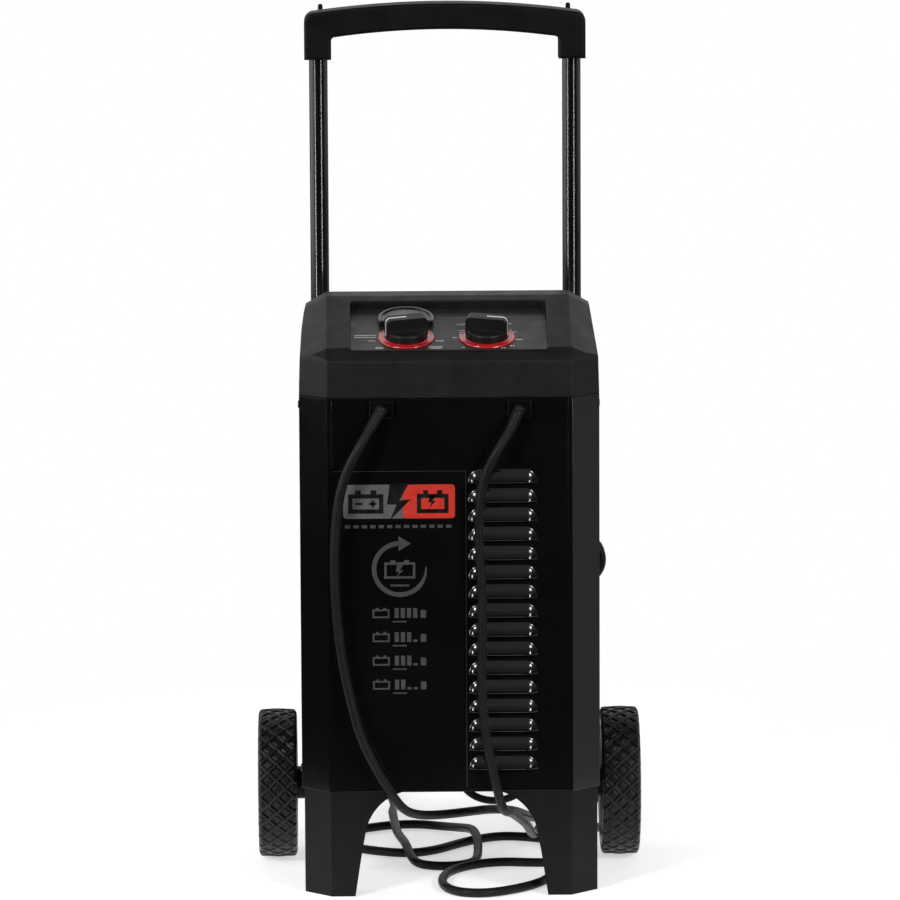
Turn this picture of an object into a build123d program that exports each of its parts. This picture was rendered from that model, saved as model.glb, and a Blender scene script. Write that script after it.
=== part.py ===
"""Wheeled car battery charger: sheet-steel cabinet, moulded head and base, two wheels, tube handle.

Millimetres. +X is to the right, +Y to the back, +Z up. The origin is on the floor, under the middle of the
object's box without its leads. Depths are measured back from the cabinet's front face, see at_depth().
"""
from build123d import *
from math import cos, pi, radians, sin, tan
import os

os.makedirs("parts", exist_ok=True)

# ---------------------------------------------------------------- driving dimensions
BODY_WIDTH = 300.0
BODY_DEPTH = 245.0
CORNER_WIDTH = 27.8  # the front corners are chamfered, this far across
CORNER_DEPTH = 26.6  # and this far back
BASE_TOP = 107.1
HEAD_BOTTOM = 505.9
HEAD_CREASE = 543.0
HEAD_RIDGE = 594.3
SHEET = 1.5

WHEEL_RADIUS = 76.6
WHEEL_WIDTH = 39.6
TRACK_OUTER = 392.6  # over both tyres
AXLE_DEPTH = 200.5
AXLE_RADIUS = 6.35
HUB_RADIUS = 52.0
RUNNING_GAP = 0.06

TUBE_RADIUS = 9.5
TUBE_SPACING = 258.6
TUBE_DEPTH = 230.0
TUBE_FOOT = 420.0
GRIP_WIDTH = 287.0
GRIP_TOP = 881.5
GRIP_THICKNESS = 36.0
SOCKET_BOTTOM = 824.0

PANEL_SLOPE = 15.5
PANEL_HALF_WIDTH = 98.5
PANEL_LENGTH = 104.0
PANEL_FRONT = (8.5, 553.6)  # depth and height of the panel's lower edge
PANEL_THICKNESS = 2.0
KNOB_RADIUS = 20.8
KNOB_HEIGHT = 22.5
KNOB_UP = 30.0  # knob centres, up the panel's slope from its lower edge
KNOB_X = {"left": -42.4, "right": 38.2}
KNOB_TURN = {"left": 12.0, "right": -12.0}
POINTER_SIDE = {"left": -1, "right": 1}
RING_OUTER = 28.2
RING_HEIGHT = 1.4
METER_RADIUS = 28.5
METER_UP = 70.0
METER_CHORD = 10.5  # the meter's round face is cut straight this far below its centre
METER_HEIGHT = 6.0
METER_BODY_RADIUS = 20.0  # the meter's body below the panel, cut straight in the same way
METER_BODY_CUT = 5.5

LOUVER_COUNT = 16
LOUVER_PITCH = 19.4
LOUVER_FIRST = 427.5
LOUVER_X = 52.4
LOUVER_LENGTH = 68.0
LOUVER_HEIGHT = 13.0
LOUVER_PROUD = 4.4

CABLE_RADIUS = 4.65
MAINS_RADIUS = 4.0
GROMMET_X = {"left": -68.0, "right": 69.6}
GROMMET_Z = 495.6
GROMMET_PROUD = 5.0

SCREW_RADIUS = 2.0
SCREW_HEAD = 1.4
SIDE_SCREWS = [(55.0, 122.0), (195.0, 122.0), (55.0, 493.0), (195.0, 493.0)]  # depth and height
BACK_SCREWS = [(-90.0, 122.0), (90.0, 122.0), (-90.0, 493.0), (90.0, 493.0)]  # x and height
HANDLE_SCREWS = [(-TUBE_SPACING / 2, 455.0), (TUBE_SPACING / 2, 455.0)]

WHEEL_BACK = AXLE_DEPTH + WHEEL_RADIUS
FRONT_Y = -(WHEEL_BACK - GROMMET_PROUD) / 2  # centres the box from the grommets to the tyres
HALF_WIDTH = BODY_WIDTH / 2
SIDES = {"left": -1, "right": 1}


def at_depth(depth):
    """The Y of a plane this far behind the cabinet's front face."""
    return FRONT_Y + depth


def point(x, depth, z):
    return (x, at_depth(depth), z)


def turned_plane(plane, angle):
    """The same plane, turned about its own normal by this many degrees."""
    across = plane.x_dir * cos(radians(angle)) + plane.y_dir * sin(radians(angle))
    return Plane(origin=plane.origin, x_dir=across, z_dir=plane.z_dir)


def save(part, name):
    part.label = name
    export_step(part, "parts/" + name + ".step")


def plan_outline(inset, lean=0.0):
    """The cabinet's outline in plan, with chamfered front corners, drawn inset all round."""
    half = HALF_WIDTH - inset - lean
    front = at_depth(inset + lean * 0.2)
    back = at_depth(BODY_DEPTH - inset)
    corner = inset * 0.42
    Polyline(
        (-half + CORNER_WIDTH - corner, front),
        (half - CORNER_WIDTH + corner, front),
        (half, front + CORNER_DEPTH - corner),
        (half, back),
        (-half, back),
        (-half, front + CORNER_DEPTH - corner),
        close=True,
    )


# ---------------------------------------------------------------- cabinet
FRONT_HALF = 117.7  # half the width of the separate front panel
PANEL_GAP = 0.3

with BuildPart() as cabinet_shell:
    with BuildSketch(Plane.XY.offset(BASE_TOP)):
        with BuildLine():
            plan_outline(0)
        make_face()
        with BuildLine():
            plan_outline(SHEET)
        make_face(mode=Mode.SUBTRACT)
        with Locations((0, at_depth(0))):
            Rectangle(2 * (FRONT_HALF + PANEL_GAP), 4 * SHEET, mode=Mode.SUBTRACT)
    extrude(amount=HEAD_BOTTOM - BASE_TOP)
    # vent slots low in the back
    with BuildSketch(Plane.XZ.offset(-at_depth(BODY_DEPTH + 1))):
        with Locations((0, 400)):
            with GridLocations(0, 12, 1, 6):
                SlotOverall(120, 5)
    extrude(amount=SHEET + 2, mode=Mode.SUBTRACT)
    with BuildSketch(Plane.YZ.offset(-HALF_WIDTH - 1)):
        for depth, z in SIDE_SCREWS:
            with Locations((at_depth(depth), z)):
                Circle(SCREW_RADIUS + 0.05)
    extrude(amount=BODY_WIDTH + 2, mode=Mode.SUBTRACT)
    with BuildSketch(Plane.XZ.offset(-at_depth(BODY_DEPTH + 1))):
        for x, z in BACK_SCREWS + HANDLE_SCREWS:
            with Locations((x, z)):
                Circle(SCREW_RADIUS + 0.05)
    extrude(amount=SHEET + 2, mode=Mode.SUBTRACT)
save(cabinet_shell.part, "cabinet_shell")

with BuildPart() as hood:
    # one louvre: a long rounded hood, hollow behind and open along its lower edge
    with BuildSketch(Plane.XZ):
        SlotOverall(LOUVER_LENGTH, LOUVER_HEIGHT)
    extrude(amount=LOUVER_PROUD)
    fillet(hood.faces().sort_by(Axis.Y)[0].edges(), radius=3.4)
    with BuildSketch(Plane.XZ):
        SlotOverall(LOUVER_LENGTH - 2.4, LOUVER_HEIGHT - 2.4)
    extrude(amount=LOUVER_PROUD - 1.2, mode=Mode.SUBTRACT)
    with BuildSketch(Plane.XZ.offset(-1)):
        with Locations((0, -LOUVER_HEIGHT / 2)):
            Rectangle(LOUVER_LENGTH - 8, 6.4)
    extrude(amount=LOUVER_PROUD + 2, mode=Mode.SUBTRACT)

with BuildPart() as front_panel:
    with BuildSketch(Plane.XZ.offset(-at_depth(SHEET))):
        with Locations((0, (BASE_TOP + HEAD_BOTTOM) / 2)):
            Rectangle(2 * FRONT_HALF, HEAD_BOTTOM - BASE_TOP)
        for x in GROMMET_X.values():
            with Locations((x, GROMMET_Z)):
                Circle(7.0, mode=Mode.SUBTRACT)
        for step in range(LOUVER_COUNT):
            with Locations((LOUVER_X, LOUVER_FIRST - step * LOUVER_PITCH)):
                SlotOverall(LOUVER_LENGTH - 2.4, LOUVER_HEIGHT - 2.4, mode=Mode.SUBTRACT)
    extrude(amount=SHEET)
    for step in range(LOUVER_COUNT):
        with Locations(point(LOUVER_X, 0, LOUVER_FIRST - step * LOUVER_PITCH)):
            add(hood.part)
save(front_panel.part, "front_panel")


# ---------------------------------------------------------------- head
def point_yz(depth, z):
    return (at_depth(depth), z)


HEAD_LEAN = {HEAD_BOTTOM - 1: 0.0, HEAD_CREASE: 1.0, HEAD_RIDGE + 4: 8.8}  # height: how far its sides lean in
HEAD_TOP = [
    (0.0, HEAD_CREASE), (11.5, 555.2), (118.0, HEAD_RIDGE), (152.0, HEAD_RIDGE), (BODY_DEPTH, 574.0),
]  # its top seen from the side, from front to back: depth and height
SHOULDER_FALL = 0.55  # how much its top falls outward beyond the chamfered corners, per unit across


def head_outline(inset):
    """The head's side view as depth and height, rolled back above its crease and highest at the ridge."""
    front, roll, ridge_front, ridge_back, back = HEAD_TOP
    Polyline(
        point_yz(inset, HEAD_BOTTOM - 2),
        point_yz(inset, front[1]),
        point_yz(roll[0] + inset, roll[1] - inset),
        point_yz(ridge_front[0], ridge_front[1] - inset),
        point_yz(ridge_back[0], ridge_back[1] - inset),
        point_yz(back[0] - inset, back[1] - inset),
        point_yz(back[0] - inset, HEAD_BOTTOM - 2),
        close=True,
    )


def head_shoulders(inset):
    """What is cut off the head's top on both sides so that it falls away to the side walls."""
    inner = HALF_WIDTH - CORNER_WIDTH - 0.4 * inset
    outer = inner + 60
    with BuildPart() as wedges:
        for (depth, z), (next_depth, next_z) in zip(HEAD_TOP, HEAD_TOP[1:]):
            origin = point(0, depth, z - inset)
            along = (0, next_depth - depth, next_z - z)
            with BuildSketch(Plane(origin=origin, x_dir=(1, 0, 0), z_dir=along)):
                for side in SIDES.values():
                    with BuildLine():
                        Polyline(
                            (side * inner, 0),
                            (side * outer, SHOULDER_FALL * (outer - inner)),
                            (side * outer, -80),
                            (side * inner, -80),
                            close=True,
                        )
                    make_face()
            extrude(amount=300, both=True)
    return wedges.part


def head_solid(inset, bottom):
    """The head's outer shape, drawn inset all round and cut off flat below."""
    with BuildPart() as block:
        for height, lean in HEAD_LEAN.items():
            with BuildSketch(Plane.XY.offset(height)):
                with BuildLine():
                    plan_outline(inset, lean)
                make_face()
        loft(ruled=True)
        with BuildSketch(Plane.YZ.offset(-HALF_WIDTH - 5)):
            with BuildLine():
                head_outline(inset)
            make_face()
        extrude(amount=BODY_WIDTH + 10, mode=Mode.INTERSECT)
        with BuildSketch(Plane.XY.offset(bottom)):
            with Locations((0, at_depth(BODY_DEPTH / 2))):
                Rectangle(BODY_WIDTH + 20, BODY_DEPTH + 20)
        extrude(amount=-20, mode=Mode.SUBTRACT)
    return block


HEAD_WALL = 2.6
panel_x_dir = (1, 0, 0)
panel_normal = (0, -sin(radians(PANEL_SLOPE)), cos(radians(PANEL_SLOPE)))


def panel_plane(x, up, above=0.0):
    """A plane parallel to the control panel: origin up its slope from the lower edge, and above its face."""
    run = up * cos(radians(PANEL_SLOPE)) - above * sin(radians(PANEL_SLOPE))
    rise = up * sin(radians(PANEL_SLOPE)) + above * cos(radians(PANEL_SLOPE))
    return Plane(
        origin=point(x, PANEL_FRONT[0] + run, PANEL_FRONT[1] + rise),
        x_dir=panel_x_dir,
        z_dir=panel_normal,
    )


outer_head = head_solid(0, HEAD_BOTTOM)
with BuildPart() as head_blank:
    add(outer_head.part)
    long_edges = head_blank.edges().filter_by(Axis.X).filter_by_position(Axis.Z, 550, HEAD_RIDGE + 1)
    fillet(long_edges, radius=9)
    add(head_shoulders(0), mode=Mode.SUBTRACT)
    rim = head_blank.edges().group_by(Axis.Z)[0]
    chamfer(rim, length=0.9)

with BuildPart() as recess:
    with BuildSketch(panel_plane(0, PANEL_LENGTH / 2, -PANEL_THICKNESS)):
        RectangleRounded(2 * PANEL_HALF_WIDTH, PANEL_LENGTH, 5)
    extrude(amount=60)

with BuildPart() as recess_wall:
    with BuildSketch(panel_plane(0, PANEL_LENGTH / 2, -PANEL_THICKNESS - HEAD_WALL)):
        RectangleRounded(2 * (PANEL_HALF_WIDTH + HEAD_WALL), PANEL_LENGTH + 2 * HEAD_WALL, 7)
    extrude(amount=60)

with BuildPart() as head_cavity:
    add(head_solid(HEAD_WALL, HEAD_BOTTOM - 1).part)
    add(head_shoulders(HEAD_WALL), mode=Mode.SUBTRACT)
    add(recess_wall.part, mode=Mode.SUBTRACT)

with BuildPart() as head_housing:
    add(head_blank.part)
    add(head_cavity.part, mode=Mode.SUBTRACT)
    add(recess.part, mode=Mode.SUBTRACT)
    # window under the panel for the switches and the meter
    with BuildSketch(panel_plane(0, PANEL_LENGTH / 2, -PANEL_THICKNESS - HEAD_WALL - 3)):
        Rectangle(150, 94)
    extrude(amount=HEAD_WALL + 3.5, mode=Mode.SUBTRACT)
    # holes for the handle tubes, with a collar round each
    with BuildSketch(Plane.XY.offset(520)):
        for side in SIDES.values():
            with Locations((side * TUBE_SPACING / 2, at_depth(TUBE_DEPTH))):
                Circle(TUBE_RADIUS + 0.15)
    extrude(amount=80, mode=Mode.SUBTRACT)
save(head_housing.part, "head_housing")

with BuildPart() as control_panel:
    with BuildSketch(panel_plane(0, PANEL_LENGTH / 2, -PANEL_THICKNESS)):
        RectangleRounded(2 * PANEL_HALF_WIDTH - 0.2, PANEL_LENGTH - 0.2, 4.9)
        for x in KNOB_X.values():
            with Locations((x, KNOB_UP - PANEL_LENGTH / 2)):
                Circle(5.0, mode=Mode.SUBTRACT)
        with Locations((KNOB_X["left"], METER_UP - PANEL_LENGTH / 2)):
            Circle(METER_BODY_RADIUS + 0.2, mode=Mode.SUBTRACT)
            with Locations((0, -METER_BODY_CUT - 8)):
                Rectangle(44, 16)
    extrude(amount=PANEL_THICKNESS)
save(control_panel.part, "control_panel")

# ---------------------------------------------------------------- knobs and switches
for side in SIDES:
    x = KNOB_X[side]
    turn = KNOB_TURN[side]
    base = panel_plane(x, KNOB_UP, 0)
    with BuildPart() as ring:
        with BuildSketch(base):
            Circle(RING_OUTER)
            Circle(RING_OUTER - 7.2, mode=Mode.SUBTRACT)
        extrude(amount=RING_HEIGHT)
        outer_edges = ring.edges().filter_by(GeomType.CIRCLE).sort_by(SortBy.RADIUS)[-2:]
        chamfer(outer_edges.sort_by(Axis.Z)[-1], length=0.6)
    save(ring.part, "knob_ring_" + side)

    turned = turned_plane(panel_plane(x, KNOB_UP, 0.6), turn)
    bar_plane = Plane(origin=turned.origin, x_dir=turned.x_dir, z_dir=turned.y_dir * -1)
    with BuildPart() as knob:
        with BuildSketch(turned):
            Circle(RING_OUTER - 7.6)
        extrude(amount=9.5)
        fillet(knob.edges().filter_by(GeomType.CIRCLE).sort_by(Axis.Z)[-1], radius=2.5)
        with BuildSketch(bar_plane):
            with Locations((0, KNOB_HEIGHT / 2)):
                RectangleRounded(2 * KNOB_RADIUS, KNOB_HEIGHT, 5)
            with Locations((0, 2)):
                Rectangle(2 * KNOB_RADIUS, 4)
            with Locations((-KNOB_RADIUS, 2), (KNOB_RADIUS, 2)):
                Rectangle(2 * (KNOB_RADIUS - RING_OUTER + 8.8), 4, mode=Mode.SUBTRACT)
        extrude(amount=6.8, both=True)
        with BuildSketch(turned.offset(-1)):
            Circle(3.1)
        extrude(amount=12, mode=Mode.SUBTRACT)
    save(knob.part, "knob_" + side)

    with BuildPart() as pointer:
        with BuildSketch(bar_plane):
            with Locations((0, KNOB_HEIGHT / 2)):
                RectangleRounded(2 * KNOB_RADIUS + 0.8, KNOB_HEIGHT + 0.8, 5.4)
                RectangleRounded(2 * KNOB_RADIUS, KNOB_HEIGHT, 5, mode=Mode.SUBTRACT)
            with Locations((-POINTER_SIDE[side] * (KNOB_RADIUS + 4), KNOB_HEIGHT / 2)):
                Rectangle(2 * KNOB_RADIUS + 8, KNOB_HEIGHT + 8, mode=Mode.SUBTRACT)
            with Locations((0, 0)):
                Rectangle(2 * KNOB_RADIUS + 8, 8, mode=Mode.SUBTRACT)
        extrude(amount=0.9, both=True)
    save(pointer.part, "knob_pointer_" + side)

    switch_name = {"left": "rate_switch", "right": "timer_switch"}[side]
    with BuildPart() as switch:
        with BuildSketch(panel_plane(x, KNOB_UP, -PANEL_THICKNESS)):
            Circle(4.8)
        extrude(amount=-4)
        with BuildSketch(panel_plane(x, KNOB_UP, -PANEL_THICKNESS - HEAD_WALL - 0.4)):
            RectangleRounded(34, 34, 4)
        extrude(amount=-22)
        with BuildSketch(panel_plane(x, KNOB_UP, 0)):
            Circle(3.0 + RUNNING_GAP)
        extrude(amount=-19, mode=Mode.SUBTRACT)
    save(switch.part, switch_name)

    with BuildPart() as shaft:
        with BuildSketch(panel_plane(x, KNOB_UP, 11.5)):
            Circle(3.0)
        extrude(amount=-26)
    save(shaft.part, switch_name.replace("switch", "shaft"))


# ---------------------------------------------------------------- meter
def meter_outline(shrink):
    """The meter's face: a circle cut straight along its lower side."""
    Circle(METER_RADIUS - shrink)
    with Locations((0, -METER_CHORD + shrink - METER_RADIUS)):
        Rectangle(3 * METER_RADIUS, 2 * METER_RADIUS, mode=Mode.SUBTRACT)


METER_PIVOT_UP = METER_UP - METER_CHORD + 9.5

with BuildPart() as meter_bezel:
    with BuildSketch(panel_plane(KNOB_X["left"], METER_UP, 0)):
        meter_outline(0)
    extrude(amount=METER_HEIGHT)
    top = meter_bezel.faces().filter_by(Plane(origin=(0, 0, 0), z_dir=panel_normal)).sort_by(Axis.Z)[-1]
    fillet(top.edges(), radius=1.6)
    with BuildSketch(panel_plane(KNOB_X["left"], METER_UP, 0)):
        meter_outline(3.4)
    extrude(amount=METER_HEIGHT, mode=Mode.SUBTRACT)
save(meter_bezel.part, "meter_bezel")

with BuildPart() as meter_lens:
    with BuildSketch(panel_plane(KNOB_X["left"], METER_UP, METER_HEIGHT - 2.4)):
        meter_outline(3.4)
    extrude(amount=1.2)
save(meter_lens.part, "meter_lens")

with BuildPart() as meter_dial:
    with BuildSketch(panel_plane(KNOB_X["left"], METER_UP, 0)):
        meter_outline(3.5)
    extrude(amount=0.6)
    with BuildSketch(panel_plane(KNOB_X["left"], METER_PIVOT_UP, 0)):
        Circle(1.0 + RUNNING_GAP)
    extrude(amount=0.6, mode=Mode.SUBTRACT)
save(meter_dial.part, "meter_dial")

with BuildPart() as meter_case:
    with BuildSketch(panel_plane(KNOB_X["left"], METER_UP, -0.1)):
        Circle(METER_BODY_RADIUS)
        with Locations((0, -METER_BODY_CUT + 0.2 - 17)):
            Rectangle(44, 34, mode=Mode.SUBTRACT)
    extrude(amount=-26)
    with BuildSketch(panel_plane(KNOB_X["left"], METER_UP, -0.1)):
        Circle(METER_BODY_RADIUS - 1.8)
        with Locations((0, -METER_BODY_CUT + 2 - 17)):
            Rectangle(44, 34, mode=Mode.SUBTRACT)
    extrude(amount=-24, mode=Mode.SUBTRACT)
save(meter_case.part, "meter_case")

with BuildPart() as meter_needle:
    # the needle turns on its staff, which passes through the dial
    with BuildSketch(panel_plane(KNOB_X["left"], METER_PIVOT_UP, 1.2)):
        Circle(2.2)
        with BuildLine():
            Polyline((-2.0, 0.5), (-15.5, 14.6), (-14.9, 15.2), (-0.5, 2.0), close=True)
        make_face()
    extrude(amount=0.7)
    with BuildSketch(panel_plane(KNOB_X["left"], METER_PIVOT_UP, 1.5)):
        Circle(1.0)
    extrude(amount=-6)
save(meter_needle.part, "meter_needle")

# ---------------------------------------------------------------- base tray with legs
LEG_DEPTH = 37.0
BASE_INSET = 2.5
RAIL_INNER = 125.5
BRACKET_BOTTOM = 50.0

with BuildPart() as base_tray:
    with BuildSketch(Plane.XY):
        with BuildLine():
            plan_outline(BASE_INSET)
        make_face()
    extrude(amount=BASE_TOP)
    # the arch between the front legs, seen from the front
    with BuildSketch(Plane.XZ.offset(-at_depth(BODY_DEPTH + 5))):
        with BuildLine():
            Polyline((-97.1, -1), (-90.2, 44.0), (-86.5, 64.0))
            ThreePointArc((-86.5, 64.0), (-74.5, 90.5), (-49.5, BASE_TOP - 0.6))
            Line((-49.5, BASE_TOP - 0.6), (49.5, BASE_TOP - 0.6))
            ThreePointArc((49.5, BASE_TOP - 0.6), (74.5, 90.5), (86.5, 64.0))
            Polyline((86.5, 64.0), (90.2, 44.0), (97.1, -1))
            Line((97.1, -1), (-97.1, -1))
        make_face()
    extrude(amount=BODY_DEPTH + 10, mode=Mode.SUBTRACT)
    # the sides, seen from the side: front leg, a long arch, then the axle bracket
    with BuildSketch(Plane.YZ.offset(-HALF_WIDTH - 5)):
        with BuildLine():
            Polyline(
                point_yz(LEG_DEPTH, -1),
                point_yz(LEG_DEPTH + 5, 60),
                point_yz(LEG_DEPTH + 22, 84),
                point_yz(150, 84),
                point_yz(176, 58),
                point_yz(184, BRACKET_BOTTOM),
                point_yz(217, BRACKET_BOTTOM),
                point_yz(BODY_DEPTH - BASE_INSET - 6, 72),
                point_yz(BODY_DEPTH + 5, 80),
                point_yz(BODY_DEPTH + 5, -1),
                close=True,
            )
        make_face()
    extrude(amount=BODY_WIDTH + 10, mode=Mode.SUBTRACT)
    # behind the legs the tray is hollow, leaving a rail down each side
    with BuildSketch(Plane.XY.offset(-1)):
        with Locations((0, at_depth((LEG_DEPTH + BODY_DEPTH) / 2 + 10))):
            Rectangle(2 * RAIL_INNER, BODY_DEPTH - LEG_DEPTH + 20)
    extrude(amount=BASE_TOP - 5, mode=Mode.SUBTRACT)
    # floor plate that closes the cabinet
    with BuildSketch(Plane.XY.offset(BASE_TOP)):
        with BuildLine():
            plan_outline(SHEET + 0.3)
        make_face()
    extrude(amount=3)
    with BuildSketch(Plane.YZ.offset(-HALF_WIDTH - 5)):
        with Locations((at_depth(AXLE_DEPTH), WHEEL_RADIUS)):
            Circle(AXLE_RADIUS + 0.05)
    extrude(amount=BODY_WIDTH + 10, mode=Mode.SUBTRACT)
save(base_tray.part, "base_tray")

# ---------------------------------------------------------------- running gear
axle_plane = Plane(origin=point(0, AXLE_DEPTH, WHEEL_RADIUS), x_dir=(0, 1, 0), z_dir=(1, 0, 0))
WHEEL_INNER = TRACK_OUTER / 2 - WHEEL_WIDTH
HUB_HALF = 15.0
CAP_DEPTH = 7.4

with BuildPart() as axle:
    with BuildSketch(axle_plane):
        Circle(AXLE_RADIUS)
    extrude(amount=TRACK_OUTER / 2 - 6, both=True)
save(axle.part, "axle")

with BuildPart() as axle_spacers:
    for side in SIDES.values():
        with BuildSketch(axle_plane.offset(side * (HALF_WIDTH - BASE_INSET))):
            Circle(16.8)
            Circle(AXLE_RADIUS + 0.1, mode=Mode.SUBTRACT)
        extrude(amount=side * (WHEEL_INNER + 1.6 - HALF_WIDTH + BASE_INSET))
save(axle_spacers.part, "axle_spacers")

with BuildPart() as axle_caps:
    for side in SIDES.values():
        with BuildSketch(axle_plane.offset(side * (TRACK_OUTER / 2 - CAP_DEPTH))):
            Circle(12)
        extrude(amount=side * 5.4)
        with BuildSketch(axle_plane.offset(side * (TRACK_OUTER / 2 - CAP_DEPTH))):
            Circle(AXLE_RADIUS)
        extrude(amount=side * 1.6, mode=Mode.SUBTRACT)
save(axle_caps.part, "axle_caps")

for side, sign in SIDES.items():
    middle = axle_plane.offset(sign * (TRACK_OUTER - WHEEL_WIDTH) / 2)
    with BuildPart() as hub:
        with BuildSketch(middle):
            Circle(16)
            Circle(AXLE_RADIUS + RUNNING_GAP, mode=Mode.SUBTRACT)
        extrude(amount=HUB_HALF - 3, both=True)
        with BuildSketch(middle):
            Circle(HUB_RADIUS)
            Circle(HUB_RADIUS - 4.5, mode=Mode.SUBTRACT)
        extrude(amount=HUB_HALF, both=True)
        with BuildSketch(middle):
            Circle(HUB_RADIUS - 4)
            Circle(12, mode=Mode.SUBTRACT)
        extrude(amount=2.2, both=True)
        with BuildSketch(middle):
            with PolarLocations(0, 8):
                with Locations((31, 0)):
                    Rectangle(36, 3)
        extrude(amount=HUB_HALF - 4, both=True)
    save(hub.part, "wheel_hub_" + side)

    with BuildPart() as tyre:
        section = Plane(origin=middle.origin, x_dir=(1, 0, 0), z_dir=(0, -1, 0))
        with BuildSketch(section):
            with BuildLine():
                half = WHEEL_WIDTH / 2
                Polyline(
                    (-HUB_HALF - 1, HUB_RADIUS), (-half + 2, HUB_RADIUS + 6), (-half, HUB_RADIUS + 12),
                    (-half, WHEEL_RADIUS - 6),
                )
                ThreePointArc(
                    (-half, WHEEL_RADIUS - 6), (-half + 1.9, WHEEL_RADIUS - 1.9), (-half + 6, WHEEL_RADIUS - 0.4)
                )
                ThreePointArc(
                    (-half + 6, WHEEL_RADIUS - 0.4), (0, WHEEL_RADIUS), (half - 6, WHEEL_RADIUS - 0.4)
                )
                ThreePointArc(
                    (half - 6, WHEEL_RADIUS - 0.4), (half - 1.9, WHEEL_RADIUS - 1.9), (half, WHEEL_RADIUS - 6)
                )
                Polyline(
                    (half, WHEEL_RADIUS - 6), (half, HUB_RADIUS + 12), (half - 2, HUB_RADIUS + 6),
                    (HUB_HALF + 1, HUB_RADIUS), (-HUB_HALF - 1, HUB_RADIUS),
                )
            make_face()
        revolve(axis=Axis(middle.origin, (1, 0, 0)), revolution_arc=360)
    save(tyre.part, "tyre_" + side)

# ---------------------------------------------------------------- handle
FIT_GAP = 0.05
TUBE_TOP = 851.0

for side, sign in SIDES.items():
    with BuildPart() as tube:
        with BuildSketch(Plane.XY.offset(TUBE_FOOT)):
            with Locations((sign * TUBE_SPACING / 2, at_depth(TUBE_DEPTH))):
                Circle(TUBE_RADIUS)
                Circle(TUBE_RADIUS - 1.5, mode=Mode.SUBTRACT)
        extrude(amount=TUBE_TOP - TUBE_FOOT)
    save(tube.part, "handle_tube_" + side)

GRIP_HALF = GRIP_WIDTH / 2
GRIP_INNER = 116.0
GRIP_SCREWS = [(-88.0, 863.0), (0.0, 868.0), (88.0, 863.0)]
GRIP_SCREW_RADIUS = 1.6


def grip_outline():
    """The grip from the front: a low arch with a socket at each end."""
    Line((-GRIP_HALF, SOCKET_BOTTOM), (-GRIP_HALF, 862))
    ThreePointArc((-GRIP_HALF, 862), (-140.6, 869.2), (-133.5, 872.3))
    ThreePointArc((-133.5, 872.3), (0, GRIP_TOP), (133.5, 872.3))
    ThreePointArc((133.5, 872.3), (140.6, 869.2), (GRIP_HALF, 862))
    Polyline((GRIP_HALF, 862), (GRIP_HALF, SOCKET_BOTTOM), (GRIP_INNER, SOCKET_BOTTOM), (GRIP_INNER, 843))
    ThreePointArc((GRIP_INNER, 843), (114.8, 845.9), (112, 847.2))
    ThreePointArc((112, 847.2), (0, 854.8), (-112, 847.2))
    ThreePointArc((-112, 847.2), (-114.8, 845.9), (-GRIP_INNER, 843))
    Polyline((-GRIP_INNER, 843), (-GRIP_INNER, SOCKET_BOTTOM), (-GRIP_HALF, SOCKET_BOTTOM))


for shell, sign in {"front": -1, "rear": 1}.items():
    with BuildPart() as grip:
        with BuildSketch(Plane.XZ.offset(-at_depth(TUBE_DEPTH))):
            with BuildLine():
                grip_outline()
            make_face()
        extrude(amount=-sign * GRIP_THICKNESS / 2)
        outside = grip.faces().sort_by(Axis.Y)[-1 if sign > 0 else 0]
        fillet(outside.edges(), radius=3)
        with BuildSketch(Plane.XY.offset(SOCKET_BOTTOM - 1)):
            for x in (-TUBE_SPACING / 2, TUBE_SPACING / 2):
                with Locations((x, at_depth(TUBE_DEPTH))):
                    Circle(TUBE_RADIUS + FIT_GAP)
        extrude(amount=TUBE_TOP + 0.5 - SOCKET_BOTTOM + 1, mode=Mode.SUBTRACT)
        with BuildSketch(Plane.XZ.offset(-at_depth(TUBE_DEPTH + GRIP_THICKNESS))):
            for spot in GRIP_SCREWS:
                with Locations(spot):
                    Circle(GRIP_SCREW_RADIUS + FIT_GAP)
        extrude(amount=GRIP_THICKNESS + 12, mode=Mode.SUBTRACT)
        if sign > 0:
            with BuildSketch(Plane.XZ.offset(-at_depth(TUBE_DEPTH + GRIP_THICKNESS / 2))):
                for spot in GRIP_SCREWS:
                    with Locations(spot):
                        Circle(3.6)
            extrude(amount=6, mode=Mode.SUBTRACT)
    save(grip.part, "grip_" + shell)

with BuildPart() as grip_screws:
    for x, z in GRIP_SCREWS:
        with BuildSketch(Plane.XZ.offset(-at_depth(TUBE_DEPTH + GRIP_THICKNESS / 2 - 3.6))):
            with Locations((x, z)):
                Circle(3.2)
                Rectangle(4.4, 1.0, mode=Mode.SUBTRACT)
                Rectangle(1.0, 4.4, mode=Mode.SUBTRACT)
        extrude(amount=1.4)
        with BuildSketch(Plane.XZ.offset(-at_depth(TUBE_DEPTH + GRIP_THICKNESS / 2 - 5.0))):
            with Locations((x, z)):
                Circle(3.2)
        extrude(amount=1.0)
        with BuildSketch(Plane.XZ.offset(-at_depth(TUBE_DEPTH + GRIP_THICKNESS / 2 - 6.0))):
            with Locations((x, z)):
                Circle(GRIP_SCREW_RADIUS)
        extrude(amount=20)
save(grip_screws.part, "grip_screws")

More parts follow.
